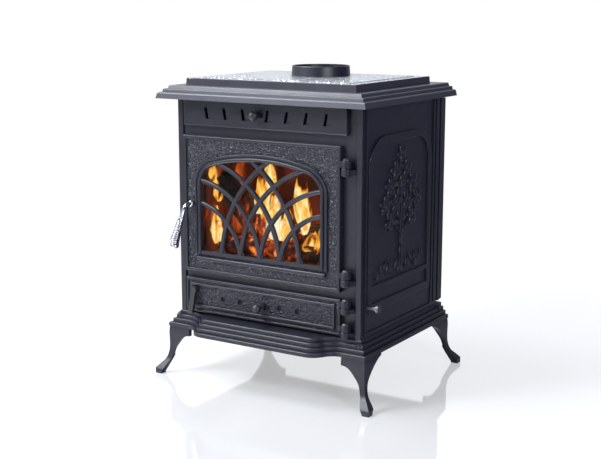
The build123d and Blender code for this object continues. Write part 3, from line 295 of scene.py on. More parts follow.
# %% The hammered pattern as a node group
hammered = bpy.data.node_groups.new("hammered_panel", "ShaderNodeTree")
group_socket(hammered, "Axis", "NodeSocketVector", (0.0, 1.0, 0.0))
group_socket(hammered, "Plane", "NodeSocketFloat", 0.0)
group_socket(hammered, "Height", "NodeSocketFloat", output=True)
group_socket(hammered, "Mask", "NodeSocketFloat", output=True)
entry = hammered.nodes.new("NodeGroupInput")
leave = hammered.nodes.new("NodeGroupOutput")
place = node(hammered, "TexCoord")
along = node(hammered, "VectorMath", operation="DOT_PRODUCT")
offset = node(hammered, "Math", operation="SUBTRACT")
near = node(hammered, "Math", operation="ABSOLUTE")
mask = node(hammered, "MapRange", {"From Min": 0.0006, "From Max": 0.0008,
                                   "To Min": 1.0, "To Max": 0.0})
wobble = node(hammered, "TexNoise", {"Scale": 120.0, "Detail": 2.0})
shift = node(hammered, "VectorMath", {1: (0.006, 0.006, 0.006)}, operation="MULTIPLY")
moved = node(hammered, "VectorMath", operation="ADD")
dents = node(hammered, "TexVoronoi", {"Scale": 215.0}, feature="SMOOTH_F1")
product = node(hammered, "Math", operation="MULTIPLY")
hammered.links.new(place.outputs["Object"], along.inputs[0])
hammered.links.new(entry.outputs["Axis"], along.inputs[1])
hammered.links.new(along.outputs["Value"], offset.inputs[0])
hammered.links.new(entry.outputs["Plane"], offset.inputs[1])
hammered.links.new(offset.outputs[0], near.inputs[0])
hammered.links.new(near.outputs[0], mask.inputs["Value"])
hammered.links.new(place.outputs["Object"], wobble.inputs["Vector"])
hammered.links.new(wobble.outputs["Color"], shift.inputs[0])
hammered.links.new(place.outputs["Object"], moved.inputs[0])
hammered.links.new(shift.outputs[0], moved.inputs[1])
hammered.links.new(moved.outputs[0], dents.inputs["Vector"])
hammered.links.new(dents.outputs["Distance"], product.inputs[0])
hammered.links.new(mask.outputs[0], product.inputs[1])
hammered.links.new(product.outputs[0], leave.inputs["Height"])
hammered.links.new(mask.outputs[0], leave.inputs["Mask"])
print("nodes in the hammered pattern:", len(hammered.nodes))

# %% [markdown]
# ## Iron finishes
# The body, the doors and the hob share the cast skin; the doors and the hob also
# have a hammered face. The pad on the hob is ground as well: in a fine grit the
# paint is gone and bare metal shines. That is the one face where paint gives way to
# metal, so a helper of its own mixes the metal in, under the same mask as the dents.
# The dents' depth counts in grains of the sand skin. The hob's paint is made paler
# than the body's: that is painted light, the light from above on the top plate.

# %% A helper that grinds a face
bare_metal = (0.90, 0.92, 0.95, 1.0)
ground_roughness = 0.14


def grind(tree, skin, mask, shader, share):
    """Grind a painted face: bare metal in fine grit, inside the mask."""
    place = node(tree, "TexCoord")
    grit = node(tree, "TexNoise", {"Scale": 300.0, "Detail": 3.0})
    ground = node(tree, "MapRange", {"From Min": 0.44, "From Max": 0.49})
    rubbed = node(tree, "Math", {1: share}, operation="MULTIPLY")
    bare = node(tree, "Math", operation="MULTIPLY")
    worn = node(tree, "Mix", {3: ground_roughness}, data_type="FLOAT")
    metal = node(tree, "Mix", {7: bare_metal}, data_type="RGBA")
    tree.links.new(mask, rubbed.inputs[0])
    tree.links.new(place.outputs["Object"], grit.inputs["Vector"])
    tree.links.new(grit.outputs["Fac"], ground.inputs["Value"])
    tree.links.new(ground.outputs[0], bare.inputs[0])
    tree.links.new(rubbed.outputs[0], bare.inputs[1])
    tree.links.new(rubbed.outputs[0], worn.inputs[0])
    tree.links.new(skin.outputs["Roughness"], worn.inputs[2])
    tree.links.new(bare.outputs[0], metal.inputs[0])
    tree.links.new(skin.outputs["Color"], metal.inputs[6])
    tree.links.new(metal.outputs[2], shader.inputs["Base Color"])
    tree.links.new(worn.outputs[0], shader.inputs["Roughness"])
    tree.links.new(bare.outputs[0], shader.inputs["Metallic"])


print("roughness of ground metal:", ground_roughness)

# %% Mix the iron finishes
dent_depth = 9.0
door_face, ash_door_face, hob_face = -0.181, -0.179, 0.6915
to_back, upwards = (0.0, 1.0, 0.0), (0.0, 0.0, 1.0)
iron_dark, iron_light = (0.0070, 0.0066, 0.0115), (0.0130, 0.0122, 0.0215)
# The hob's two tones are paler than the body's: painted light from above on the top plate.
hob_dark_painted_light, hob_pale_painted_light = (0.020, 0.020, 0.028), (0.038, 0.037, 0.050)


def cast_iron(name, dark, light, axis=None, plane=0.0, polish=0.0):
    """Satin black paint on sand-cast iron, with a hammered face if an axis is given."""
    material, tree, output = new_material(name)
    skin = node(tree, "Group", node_tree=cast_skin)
    skin.inputs["Dark"].default_value = (*dark, 1.0)
    skin.inputs["Light"].default_value = (*light, 1.0)
    shader = node(tree, "BsdfPrincipled")
    bump = node(tree, "Bump", {"Distance": 0.0004})
    height = skin.outputs["Height"]
    tree.links.new(skin.outputs["Color"], shader.inputs["Base Color"])
    tree.links.new(skin.outputs["Roughness"], shader.inputs["Roughness"])
    if axis:
        panel = node(tree, "Group", node_tree=hammered)
        panel.inputs["Axis"].default_value = axis
        panel.inputs["Plane"].default_value = plane
        both = node(tree, "Math", {1: dent_depth}, operation="MULTIPLY_ADD")
        tree.links.new(panel.outputs["Height"], both.inputs[0])
        tree.links.new(height, both.inputs[2])
        height = both.outputs[0]
    if polish:
        grind(tree, skin, panel.outputs["Mask"], shader, polish)
    tree.links.new(height, bump.inputs["Height"])
    tree.links.new(bump.outputs[0], shader.inputs["Normal"])
    tree.links.new(shader.outputs[0], output.inputs["Surface"])
    return material


iron = cast_iron("stove_iron", iron_dark, iron_light)
door_iron = cast_iron("door_iron", iron_dark, iron_light, to_back, door_face)
ash_iron = cast_iron("ash_door_iron", iron_dark, iron_light, to_back, ash_door_face)
# The hob gets the paler tones, painted light from above, besides its dents and grit.
hob_iron_painted_light = cast_iron("hob_iron_painted_light", hob_dark_painted_light, hob_pale_painted_light, upwards, hob_face, polish=0.9)
print("iron finishes:", iron.name, door_iron.name, ash_iron.name, hob_iron_painted_light.name)

# %% [markdown]
# ## Metals, glass and rope
# The door handle is chrome plated, bolts and nuts are plain turned steel, and the
# hinge pins and the riddling rod with its knob are duller, oiled steel. The ash pan
# is galvanised sheet. The other knobs, the lever and the sheet parts are painted
# black, the slide behind the ash door's air holes is near black, painted shade that
# darkens the holes, and the doors close on graphite-black rope. The window is
# ceramic glass. Its low index keeps the mirror image of the room off it, so that the
# fire shows through.

# %% The other finishes
def plain(name, color, roughness, metallic=0.0, bump_scale=0.0, bump_depth=0.0, spread=0.0):
    """One Principled finish, with a bumpy skin and an uneven colour if asked for."""
    material, tree, output = new_material(name)
    shader = node(tree, "BsdfPrincipled", {"Metallic": metallic, "Roughness": roughness,
                                           "Base Color": (*color, 1.0)})
    tree.links.new(shader.outputs[0], output.inputs["Surface"])
    if bump_scale:
        place = node(tree, "TexCoord")
        grain = node(tree, "TexNoise", {"Scale": bump_scale, "Detail": 4.0})
        bump = node(tree, "Bump", {"Distance": bump_depth})
        tree.links.new(place.outputs["Object"], grain.inputs["Vector"])
        tree.links.new(grain.outputs["Fac"], bump.inputs["Height"])
        tree.links.new(bump.outputs[0], shader.inputs["Normal"])
    if spread:
        tint = node(tree, "ValToRGB")
        ramp_stops(tint, [(0.3, tuple(value * (1 - spread) for value in color)),
                          (0.7, tuple(value * (1 + spread) for value in color))])
        tree.links.new(grain.outputs["Fac"], tint.inputs[0])
        tree.links.new(tint.outputs[0], shader.inputs["Base Color"])
    return material


finishes = {
    "cast_iron": iron,
    "chrome": plain("chrome_plate", (0.50, 0.50, 0.53), 0.16, 1.0),
    "steel": plain("turned_steel", (0.42, 0.42, 0.44), 0.34, 1.0, 600.0, 0.0001),
    "black_steel": plain("black_paint", (0.020, 0.020, 0.024), 0.42, 0.0, 700.0, 0.0001),
    "galvanised": plain("galvanised_sheet", (0.55, 0.57, 0.58), 0.38, 0.9, 90.0, 0.0001, 0.12),
    "rope": plain("graphite_rope", (0.030, 0.030, 0.032), 0.85, 0.0, 500.0, 0.0008, 0.3),
}
dull_steel = plain("oiled_steel", (0.15, 0.15, 0.16), 0.45, 1.0, 500.0, 0.0001)
# The slide is near black: painted shade, so that the air holes in front of it read dark.
slide_painted_shade = plain("slide_plate_painted_shade", (0.004, 0.004, 0.005), 0.85, 0.0, 700.0, 0.0001)
glass_material, tree, output = new_material("ceramic_glass")
shader = node(tree, "BsdfPrincipled", {"Base Color": (1.0, 0.97, 0.93, 1.0), "Roughness": 0.0,
                                       "IOR": 1.12, "Metallic": 0.0, "Transmission Weight": 1.0})
tree.links.new(shader.outputs[0], output.inputs["Surface"])
finishes["glass"] = glass_material
print("finishes:", ", ".join(finishes))

# %% Dress the castings and fittings
def dress(name, material):
    """Give one casting or fitting of the frame its finish."""
    nodes[name].data.materials.clear()
    nodes[name].data.materials.append(material)


slots = {entry["node"]: entry["material_slot"] for entry in frame["record"]["subparts"]}
own_finish = {"door_casting": door_iron, "ash_door_casting": ash_iron, "top_plate": hob_iron_painted_light,
              "ash_air_slider": slide_painted_shade, "hinge_pins": dull_steel,
              "riddling_knob": dull_steel, "riddling_rod": dull_steel}
fire_bricks = [name for name in nodes if slots[name] == "brick"]
for name in nodes:
    if name not in fire_bricks:
        dress(name, own_finish.get(name, finishes[slots[name]]))
print("dressed:", len(nodes) - len(fire_bricks), "bricks left for the fire:", len(fire_bricks))

# %% [markdown]
# ## Pieces made from copies
# Leaves, flames and logs are each modelled once in edit mode and then copied. A
# copy has its own mesh, and its place is worked into the mesh itself, so that every
# finished piece stands at the origin like the castings do.

# %% Helpers for added pieces
def select_only(item):
    """Deselect everything, then select one object and make it active."""
    bpy.ops.object.select_all(action="DESELECT")
    item.select_set(True)
    bpy.context.view_layer.objects.active = item


def copies(item, places, name):
    """Copy a modelled piece to each matrix and join the copies into one object."""
    made = []
    for index, matrix in enumerate(places):
        mesh = item.data.copy()
        mesh.transform(matrix)
        twin = bpy.data.objects.new(f"{name}_{index}", mesh)
        scene.collection.objects.link(twin)
        made.append(twin)
    bpy.ops.object.select_all(action="DESELECT")
    for twin in made:
        twin.select_set(True)
    bpy.context.view_layer.objects.active = made[0]
    if len(made) > 1:
        bpy.ops.object.join()
    joined = bpy.context.object
    joined.name = name
    return joined


def remove(item):
    """Delete a pattern piece that has been copied."""
    select_only(item)
    bpy.ops.object.delete()


print("helpers for added pieces: 3")

# %% [markdown]
# ## Relief on the side panels
# Each side panel carries a low cast relief in its arched field. Here it is a plain
# leafy tree: a trunk with two branches and spread roots, round tufts of leaves in
# even rows, and a strip of leaves along the ground. One leaf is a flattened ball
# moved sideways, so that its root lies at the middle; copies turned round that
# middle make a tuft. The trunk is made of short flat stems. The left panel has the
# mirror image.

# %% Model one leaf and one stem
bpy.ops.object.select_all(action="DESELECT")
bpy.ops.mesh.primitive_uv_sphere_add(segments=10, ring_count=6, radius=1.0)
leaf = bpy.context.object
leaf.name = "leaf"
bpy.ops.object.mode_set(mode="EDIT")
bpy.ops.mesh.select_all(action="SELECT")
bpy.ops.transform.rotate(value=math.pi / 2, orient_axis="Y", center_override=(0, 0, 0))
bpy.ops.transform.resize(value=(1.0, 0.52, 0.42), center_override=(0, 0, 0))
bpy.ops.transform.translate(value=(0.95, 0.0, 0.0))
bpy.ops.object.mode_set(mode="OBJECT")
bpy.ops.object.shade_smooth()

bpy.ops.object.select_all(action="DESELECT")
bpy.ops.mesh.primitive_cylinder_add(vertices=12, radius=1.0, depth=2.0, location=(0, 0, 0))
stem = bpy.context.object
stem.name = "stem"
bpy.ops.object.mode_set(mode="EDIT")
bpy.ops.mesh.select_all(action="SELECT")
bpy.ops.mesh.subdivide(number_cuts=2)
bpy.ops.object.mode_set(mode="OBJECT")
bpy.ops.object.shade_smooth()
print("leaf faces:", len(leaf.data.polygons), "stem faces:", len(stem.data.polygons))

# %% Set the leaves
random.seed(7)
panel_x = 0.2405
leaf_lift, heart_lift, ground_lift = 0.0130, 0.0160, 0.0100
top_tuft_z, top_tuft_size, tuft_size = 0.532, 0.021, 0.023
tuft_rows = [(0.499, 0.026, 2), (0.463, 0.052, 3), (0.426, 0.074, 4), (0.389, 0.050, 3)]
leaves_in_tuft = 5
ground_leaves, ground_start, ground_pitch, ground_z = 17, -0.104, 0.0130, 0.268


def on_panel(y, z, out=0.0):
    """A place on the right side panel, with X along +Y, Y upwards and Z outwards."""
    return Matrix(((0, 0, 1, panel_x + out), (1, 0, 0, y), (0, 1, 0, z), (0, 0, 0, 1)))


def leaf_at(y, z, angle, length, width, lift):
    """One leaf on the panel: its length lies along the angle."""
    turned = Matrix.Rotation(angle, 4, "Z")
    return on_panel(y, z) @ turned @ Matrix.Diagonal((length, width, lift, 1.0))


tufts = [(0.0, top_tuft_z, top_tuft_size)]
for z, half, count in tuft_rows:
    for index in range(count):
        tufts.append((-half + 2 * half * index / (count - 1), z, tuft_size))
leaf_places = []
for y, z, size in tufts:
    start = random.uniform(0, math.tau)
    for index in range(leaves_in_tuft):
        angle = start + index * math.tau / leaves_in_tuft + random.uniform(-0.15, 0.15)
        length = size * random.uniform(0.50, 0.60)
        leaf_places.append(leaf_at(y, z, angle, length, length * 1.25, leaf_lift))
    leaf_places.append(leaf_at(y, z, start, size * 0.22, size * 0.40, heart_lift))
for index in range(ground_leaves):
    angle = math.pi / 2 + random.uniform(-0.8, 0.8)
    length = random.uniform(0.010, 0.015)
    rise = 0.018 * math.sin(index * 0.9) ** 2
    leaf_places.append(leaf_at(ground_start + index * ground_pitch, ground_z + rise, angle,
                               length, length * 0.9, ground_lift))
foliage = copies(leaf, leaf_places, "right_foliage")
print("tufts:", len(tufts), "leaves:", len(leaf_places))

# %% Set the trunk and the branches
def limb(start, end, half_width):
    """A stem between two (y, z) points of the panel."""
    run, climb = end[0] - start[0], end[1] - start[1]
    length = math.hypot(run, climb)
    stand = on_panel((start[0] + end[0]) / 2, (start[1] + end[1]) / 2, 0.0004)
    turned = Matrix.Rotation(math.atan2(climb, run), 4, "Z") @ Matrix.Rotation(math.pi / 2, 4, "Y")
    return stand @ turned @ Matrix.Diagonal((0.0040, half_width, length / 2, 1.0))


limbs = [limb((0.0, 0.268), (0.0, 0.330), 0.0068), limb((0.0, 0.325), (0.001, 0.400), 0.0056),
         limb((0.001, 0.392), (0.0, 0.480), 0.0038), limb((0.0, 0.352), (-0.044, 0.392), 0.0028),
         limb((0.0, 0.352), (0.044, 0.392), 0.0028), limb((-0.009, 0.266), (0.0, 0.292), 0.0040),
         limb((0.009, 0.266), (0.0, 0.292), 0.0040)]
trunk = copies(stem, limbs, "right_trunk")
remove(leaf)
remove(stem)
print("stems:", len(limbs), "faces:", len(trunk.data.polygons))

# %% Mirror the relief to the left panel
for item in (foliage, trunk):
    twin = copies(item, [Matrix.Diagonal((-1.0, 1.0, 1.0, 1.0))], item.name.replace("right", "left"))
    select_only(twin)
    bpy.ops.object.mode_set(mode="EDIT")
    bpy.ops.mesh.select_all(action="SELECT")
    bpy.ops.mesh.normals_make_consistent(inside=False)
    bpy.ops.object.mode_set(mode="OBJECT")
    for piece in (item, twin):
        piece.data.materials.clear()
        piece.data.materials.append(iron)
        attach(piece, "stove")
print("relief faces on each side:", len(foliage.data.polygons) + len(trunk.data.polygons))

# %% [markdown]
# ## The heat of the fire
# Behind the lattice a wood fire burns: charred logs lie on a bed of embers, flames
# stand between them, and the fire's light on the bricks behind is painted on as a
# glow. All of it is hottest near one point and cools away from it, and a noise
# stretched upwards makes it flicker. One node group works that heat out. Each finish
# then turns the heat into a colour of its own, and gives it out as light, so the fire
# keeps its looks in any room; on the bricks that light is painted firelight.

# %% The heat as a node group
fire_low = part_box("grate_frame")[1][2]
fire_middle = Vector((-0.055, -0.060, fire_low + 0.085))

fire_heat = bpy.data.node_groups.new("fire_heat", "ShaderNodeTree")
group_socket(fire_heat, "Reach", "NodeSocketFloat", 0.2)
group_socket(fire_heat, "Scale", "NodeSocketFloat", 30.0)
group_socket(fire_heat, "Flicker", "NodeSocketFloat", 0.5)
group_socket(fire_heat, "Heat", "NodeSocketFloat", output=True)
entry = fire_heat.nodes.new("NodeGroupInput")
leave = fire_heat.nodes.new("NodeGroupOutput")
place = node(fire_heat, "TexCoord")
away = node(fire_heat, "VectorMath", operation="DISTANCE")
away.inputs[1].default_value = fire_middle
share = node(fire_heat, "Math", operation="DIVIDE")
warm = node(fire_heat, "Math", {0: 1.0}, operation="SUBTRACT")
upright = node(fire_heat, "VectorMath", {1: (1.0, 1.0, 0.38)}, operation="MULTIPLY")
flicker = node(fire_heat, "TexNoise", {"Detail": 4.0, "Distortion": 0.8})
centred = node(fire_heat, "Math", {1: 0.5}, operation="SUBTRACT")
scaled = node(fire_heat, "Math", operation="MULTIPLY")
total = node(fire_heat, "Math", operation="ADD")
fire_heat.links.new(place.outputs["Object"], away.inputs[0])
fire_heat.links.new(away.outputs["Value"], share.inputs[0])
fire_heat.links.new(entry.outputs["Reach"], share.inputs[1])
fire_heat.links.new(share.outputs[0], warm.inputs[1])
fire_heat.links.new(place.outputs["Object"], upright.inputs[0])
fire_heat.links.new(upright.outputs[0], flicker.inputs["Vector"])
fire_heat.links.new(entry.outputs["Scale"], flicker.inputs["Scale"])
fire_heat.links.new(flicker.outputs["Fac"], centred.inputs[0])
fire_heat.links.new(centred.outputs[0], scaled.inputs[0])
fire_heat.links.new(entry.outputs["Flicker"], scaled.inputs[1])
fire_heat.links.new(warm.outputs[0], total.inputs[0])
fire_heat.links.new(scaled.outputs[0], total.inputs[1])
fire_heat.links.new(total.outputs[0], leave.inputs["Heat"])
print("fire stands on", round(fire_low, 3))

# %% [markdown]
# ## Char, embers and bricks with painted firelight
# These three are rough, dark and solid. They only glow where the heat is high: the
# logs in their cracks, the embers nearly all over, and the bricks in broad, dull
# tongues of painted firelight that look like flames seen through smoke.

# %% Mix the glowing finishes
def heat_color(tree, reach, scale, flicker, stops):
    """The fire's heat in one material: its value, and the colour it glows in."""
    heat = node(tree, "Group", node_tree=fire_heat)
    heat.inputs["Reach"].default_value = reach
    heat.inputs["Scale"].default_value = scale
    heat.inputs["Flicker"].default_value = flicker
    ramp = node(tree, "ValToRGB")
    ramp_stops(ramp, stops)
    tree.links.new(heat.outputs["Heat"], ramp.inputs[0])
    return heat.outputs["Heat"], ramp.outputs[0]


def glowing(name, color, roughness, reach, scale, flicker, stops):
    """A rough dark surface whose glow follows the fire's heat; on the bricks that glow is painted
    firelight.
    """
    material, tree, output = new_material(name)
    glow_color = heat_color(tree, reach, scale, flicker, stops)[1]
    shader = node(tree, "BsdfPrincipled", {"Base Color": (*color, 1.0), "Roughness": roughness,
                                           "Emission Strength": 1.0})
    place = node(tree, "TexCoord")
    crust = node(tree, "TexNoise", {"Scale": 220.0, "Detail": 5.0})
    bump = node(tree, "Bump", {"Distance": 0.0015})
    tree.links.new(place.outputs["Object"], crust.inputs["Vector"])
    tree.links.new(crust.outputs["Fac"], bump.inputs["Height"])
    tree.links.new(bump.outputs[0], shader.inputs["Normal"])
    tree.links.new(glow_color, shader.inputs["Emission Color"])
    tree.links.new(shader.outputs[0], output.inputs["Surface"])
    return material


black = (0.0, 0.0, 0.0)
char_glow = [(0.55, black), (0.78, (0.05, 0.004, 0.0)), (0.92, (0.45, 0.05, 0.004)),
             (1.0, (0.9, 0.30, 0.03))]
ember_glow = [(0.50, black), (0.72, (0.07, 0.005, 0.0)), (0.88, (0.55, 0.07, 0.004)),
              (1.0, (1.0, 0.35, 0.04))]
# The bricks' glow is painted firelight: the fire's light on them, given out by the bricks.
brick_firelight_painted = [(0.05, (0.002, 0.001, 0.001)), (0.40, (0.018, 0.002, 0.001)),
              (0.70, (0.12, 0.012, 0.003)), (1.0, (0.60, 0.100, 0.010))]
char = glowing("charred_wood", (0.010, 0.008, 0.007), 0.9, 0.30, 60.0, 1.4, char_glow)
embers = glowing("ember_bed", (0.014, 0.011, 0.010), 0.95, 0.34, 75.0, 1.5, ember_glow)
brick_with_painted_firelight = glowing("fire_brick_painted_firelight", (0.045, 0.020, 0.014), 0.92, 0.42, 19.0, 2.6, brick_firelight_painted)
# The bricks get the finish with painted firelight.
for name in fire_bricks:
    dress(name, brick_with_painted_firelight)
print("bricks lit:", len(fire_bricks))

# %% [markdown]
# ## Flame
# Flame has no surface. Each tongue is a thin closed shape that fades out where it
# is seen edge-on, and is torn where the heat is low, so that its outline is ragged.
# Its colour runs from pale yellow at the heart of the fire to dark red far from it.

# %% Mix the flame
flame_glow = [(0.12, (0.30, 0.02, 0.0)), (0.38, (0.75, 0.13, 0.008)), (0.58, (0.98, 0.42, 0.03)),
              (0.78, (1.0, 0.76, 0.22)), (1.0, (1.0, 0.95, 0.68))]
flame, tree, output = new_material("flame")
heat, glow_color = heat_color(tree, 0.26, 42.0, 2.6, flame_glow)
facing = node(tree, "LayerWeight", {"Blend": 0.35})
solid = node(tree, "Math", {0: 1.0}, operation="SUBTRACT")
ragged = node(tree, "MapRange", {"From Min": 0.34, "From Max": 0.62})
cover = node(tree, "Math", operation="MULTIPLY")
shader = node(tree, "BsdfPrincipled", {"Base Color": (0.0, 0.0, 0.0, 1.0), "Roughness": 1.0,
                                       "Specular IOR Level": 0.0, "Emission Strength": 1.0})
tree.links.new(facing.outputs["Facing"], solid.inputs[1])
tree.links.new(heat, ragged.inputs["Value"])
tree.links.new(solid.outputs[0], cover.inputs[0])
tree.links.new(ragged.outputs[0], cover.inputs[1])
tree.links.new(glow_color, shader.inputs["Emission Color"])
tree.links.new(cover.outputs[0], shader.inputs["Alpha"])
tree.links.new(shader.outputs[0], output.inputs["Surface"])
print("flame nodes:", len(tree.nodes))

# %% [markdown]
# ## Logs and embers
# A burning log is rough and never quite round. One log is made from a cylinder: its
# ends are set in and pushed out a little, its side is cut into rings, and a coarse
# and a fine cloud pattern roughen it. It is laid three times: across the front,
# leaning on the left brick, and behind. An ember is a small rough ball, and many
# turned copies of it heap up over the grate.

# %% Model the log and the ember
log_rings = 18


def roughen(item, size, strength, seed):
    """Displace a piece with a cloud pattern and apply it."""
    texture = bpy.data.textures.new(f"{item.name}_{seed}", "CLOUDS")
    texture.noise_scale = size
    select_only(item)
    bpy.ops.object.modifier_add(type="DISPLACE")
    push = item.modifiers[-1]
    push.texture = texture
    push.strength = strength
    push.texture_coords = "LOCAL"
    bpy.ops.object.modifier_apply(modifier=push.name)


bpy.ops.object.select_all(action="DESELECT")
bpy.ops.mesh.primitive_cylinder_add(vertices=28, radius=1.0, depth=2.0, end_fill_type="NGON")
log = bpy.context.object
log.name = "log"
bpy.ops.object.mode_set(mode="EDIT")
bpy.ops.mesh.select_mode(type="FACE")
bpy.ops.mesh.select_all(action="DESELECT")
bpy.ops.object.mode_set(mode="OBJECT")
for face in log.data.polygons:
    face.select = abs(face.normal.z) > 0.9
bpy.ops.object.mode_set(mode="EDIT")
bpy.ops.mesh.inset(thickness=0.22)
bpy.ops.transform.resize(value=(0.9, 0.9, 1.03))
bpy.ops.mesh.inset(thickness=0.3)
bpy.ops.mesh.select_all(action="DESELECT")
bpy.ops.object.mode_set(mode="OBJECT")
for edge in log.data.edges:
    low, high = (log.data.vertices[index].co.z for index in edge.vertices)
    edge.select = abs(high - low) > 1.5
bpy.ops.object.mode_set(mode="EDIT")
bpy.ops.mesh.select_mode(type="EDGE")
bpy.ops.mesh.subdivide(number_cuts=log_rings)
bpy.ops.object.mode_set(mode="OBJECT")
roughen(log, 0.45, 0.30, 1)
roughen(log, 0.12, 0.09, 2)

bpy.ops.object.select_all(action="DESELECT")
bpy.ops.mesh.primitive_ico_sphere_add(subdivisions=2, radius=1.0)
ember = bpy.context.object
ember.name = "ember"
roughen(ember, 0.8, 0.7, 3)
print("log faces:", len(log.data.polygons), "ember faces:", len(ember.data.polygons))

# %% Lay the logs
def between(start, end, half_width, squash, roll):
    """A matrix that stretches a piece of length 2 along Z between two points."""
    start, end = Vector(start), Vector(end)
    along = end - start
    stand = along.to_track_quat("Z", "Y").to_matrix().to_4x4()
    stretch = Matrix.Diagonal((half_width, half_width * squash, along.length / 2, 1.0))
    return Matrix.Translation((start + end) / 2) @ stand @ Matrix.Rotation(roll, 4, "Z") @ stretch


log_places = [between((-0.170, -0.096, 0.306), (0.110, -0.074, 0.292), 0.026, 0.85, 0.4),
              between((-0.192, -0.080, 0.452), (-0.070, -0.060, 0.318), 0.030, 0.9, 1.7),
              between((-0.130, 0.040, 0.305), (0.150, 0.010, 0.330), 0.034, 0.85, 2.9)]
logs = copies(log, log_places, "burning_logs")
remove(log)
print("logs:", len(log_places), "faces:", len(logs.data.polygons))

# %% Heap the embers
random.seed(11)
ember_count = 110
ember_places = []
for index in range(ember_count):
    x, y = random.uniform(-0.185, 0.185), random.uniform(-0.108, 0.140)
    heap = 0.012 + 0.016 * math.cos(x * 7.0) + 0.010 * math.cos((y + 0.04) * 11.0)
    size = random.uniform(0.008, 0.015)
    turned = Matrix.Rotation(index * 1.7, 4, "Z") @ Matrix.Rotation(index * 0.9, 4, "X")
    shape = Matrix.Diagonal((size, size * 0.8, size * 0.7, 1.0))
    ember_places.append(Matrix.Translation((x, y, fire_low + heap)) @ turned @ shape)
ember_bed = copies(ember, ember_places, "ember_bed")
remove(ember)
for item, finish in ((logs, char), (ember_bed, embers)):
    item.data.materials.clear()
    item.data.materials.append(finish)
    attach(item, "stove")
    select_only(item)
    bpy.ops.object.shade_smooth()
print("faces of logs and embers:", len(logs.data.polygons) + len(ember_bed.data.polygons))

# %% [markdown]
# ## Flames
# A tongue of flame is wide low down, narrows upwards and curls over. One round ball
# is given soft lumps, tapered, twisted and bent. Turned and stretched copies of it
# make the whole fire: tall in the middle, low at the sides, and two that lick up
# the leaning log. A small lamp among them throws their light on the bricks.

# %% Model one tongue
bpy.ops.object.select_all(action="DESELECT")
bpy.ops.mesh.primitive_uv_sphere_add(segments=28, ring_count=30, radius=1.0)
tongue = bpy.context.object
tongue.name = "tongue"


def deform(item, method, amount, axis="Z"):
    """Apply one simple deform to a piece."""
    select_only(item)
    bpy.ops.object.modifier_add(type="SIMPLE_DEFORM")
    change = item.modifiers[-1]
    change.deform_method = method
    change.deform_axis = axis
    if method in ("TWIST", "BEND"):
        change.angle = amount
    else:
        change.factor = amount
    bpy.ops.object.modifier_apply(modifier=change.name)


roughen(tongue, 0.75, 0.55, 4)
deform(tongue, "TAPER", -1.15)
deform(tongue, "TWIST", 1.6)
deform(tongue, "BEND", 0.5, "X")
print("tongue faces:", len(tongue.data.polygons))

# %% Set the flames
# Each flame is given by x, y, its foot, its height and its half width.
flame_spots = [
    (-0.108, -0.050, 0.345, 0.110, 0.014), (-0.090, -0.060, 0.330, 0.150, 0.017),
    (-0.070, -0.050, 0.320, 0.185, 0.019), (-0.050, -0.070, 0.315, 0.105, 0.020),
    (-0.030, -0.055, 0.310, 0.080, 0.018), (-0.125, 0.000, 0.360, 0.130, 0.016),
    (-0.040, 0.030, 0.345, 0.135, 0.014), (0.000, -0.010, 0.330, 0.120, 0.013),
    (0.058, -0.084, 0.300, 0.058, 0.018), (0.082, -0.078, 0.298, 0.078, 0.019),
    (0.102, -0.066, 0.305, 0.050, 0.014), (-0.184, -0.112, 0.305, 0.085, 0.014),
    (-0.172, -0.108, 0.300, 0.062, 0.013), (-0.192, -0.112, 0.445, 0.062, 0.012),
    (-0.180, -0.106, 0.405, 0.050, 0.010), (0.040, 0.020, 0.345, 0.100, 0.012)]
flame_places = []
for x, y, foot, tall, wide in flame_spots:
    tip = (x + random.uniform(-0.012, 0.010), y + random.uniform(-0.01, 0.01), foot + tall)
    flame_places.append(between((x, y, foot), tip, wide, 0.7, random.uniform(0, math.tau)))
flames = copies(tongue, flame_places, "flames")
remove(tongue)
flames.data.materials.clear()
flames.data.materials.append(flame)
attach(flames, "stove")
select_only(flames)
bpy.ops.object.shade_smooth()
print("flames:", len(flame_spots), "faces:", len(flames.data.polygons))

# %% Light the bricks
fire_lamp = bpy.data.lights.new("fire_lamp", "POINT")
fire_lamp.energy = 0.9
fire_lamp.color = (1.0, 0.36, 0.09)
fire_lamp.shadow_soft_size = 0.06
glow_lamp = bpy.data.objects.new("fire_lamp", fire_lamp)
scene.collection.objects.link(glow_lamp)
glow_lamp.location = (-0.04, -0.03, 0.40)
glow_lamp.visible_camera = False
glow_lamp.visible_glossy = False
glow_lamp.visible_transmission = False
print("lamp among the flames:", fire_lamp.energy, "W")

# %% [markdown]
# ## Spring grip
# The door handle stays cool because its grip is a spring: one flat steel wire wound
# in a cone round the rod, so that air passes between the turns. A flattened ring is
# screwed along the rod, closed at both ends and widened towards the bottom. The
# rod and the cap below it are pieces of the frame.

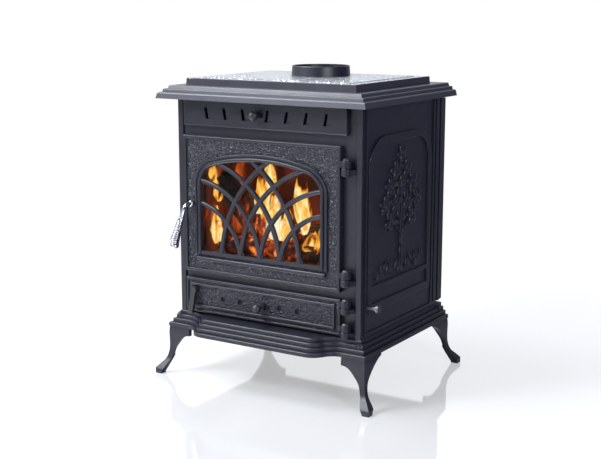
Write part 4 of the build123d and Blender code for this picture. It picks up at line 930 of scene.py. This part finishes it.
# %% Wind the grip
grip_turns, steps_per_turn, wire_sides = 11, 28, 16
wire_half_height, wire_half_depth = 0.00245, 0.0011
rod_radius = 0.0045
grip_length, grip_widen = 0.062, 0.70
bpy.ops.object.select_all(action="DESELECT")
bpy.ops.mesh.primitive_circle_add(vertices=wire_sides, radius=1.0)
grip = bpy.context.object
grip.name = "spring_grip"
bpy.ops.object.mode_set(mode="EDIT")
bpy.ops.mesh.select_all(action="SELECT")
bpy.ops.transform.rotate(value=math.pi / 2, orient_axis="X", center_override=(0, 0, 0))
bpy.ops.transform.resize(value=(wire_half_depth, 1.0, wire_half_height), center_override=(0, 0, 0))
bpy.ops.transform.translate(value=(rod_radius + wire_half_depth, 0.0, wire_half_height))
bpy.ops.object.mode_set(mode="OBJECT")
bpy.ops.object.modifier_add(type="SCREW")
winding = grip.modifiers[-1]
winding.iterations = grip_turns
winding.screw_offset = (grip_length - 2 * wire_half_height) / grip_turns
winding.steps = winding.render_steps = steps_per_turn
winding.use_merge_vertices = False
bpy.ops.object.modifier_apply(modifier=winding.name)
bpy.ops.object.mode_set(mode="EDIT")
bpy.ops.mesh.select_all(action="SELECT")
bpy.ops.mesh.fill_holes(sides=0)
bpy.ops.mesh.select_all(action="SELECT")
bpy.ops.mesh.normals_make_consistent(inside=False)
bpy.ops.object.mode_set(mode="OBJECT")
deform(grip, "TAPER", grip_widen)
print("turns:", grip_turns, "faces:", len(grip.data.polygons))

# %% Hang the grip on the handle
# It hangs from the latch spindle along the line to the middle of the frame's coil.
grip_drop = 0.034


def middle_of(name):
    """The middle of a frame piece's box."""
    low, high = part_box(name)
    return (Vector(low) + Vector(high)) / 2


pivot, coil = middle_of("latch_spindle"), middle_of("coil_grip")
pivot.y = coil.y
hang = (coil - pivot).normalized()
lean = hang.to_track_quat("Z", "Y").to_matrix().to_4x4()
grip.data.transform(Matrix.Translation(pivot + hang * grip_drop) @ lean)
select_only(grip)
bpy.ops.object.shade_smooth()
grip.data.materials.clear()
grip.data.materials.append(finishes["chrome"])
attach(grip, "main_latch")
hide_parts("coil_grip")
print("grip leans", round(math.degrees(math.atan2(-hang.x, -hang.z)), 1), "degrees")
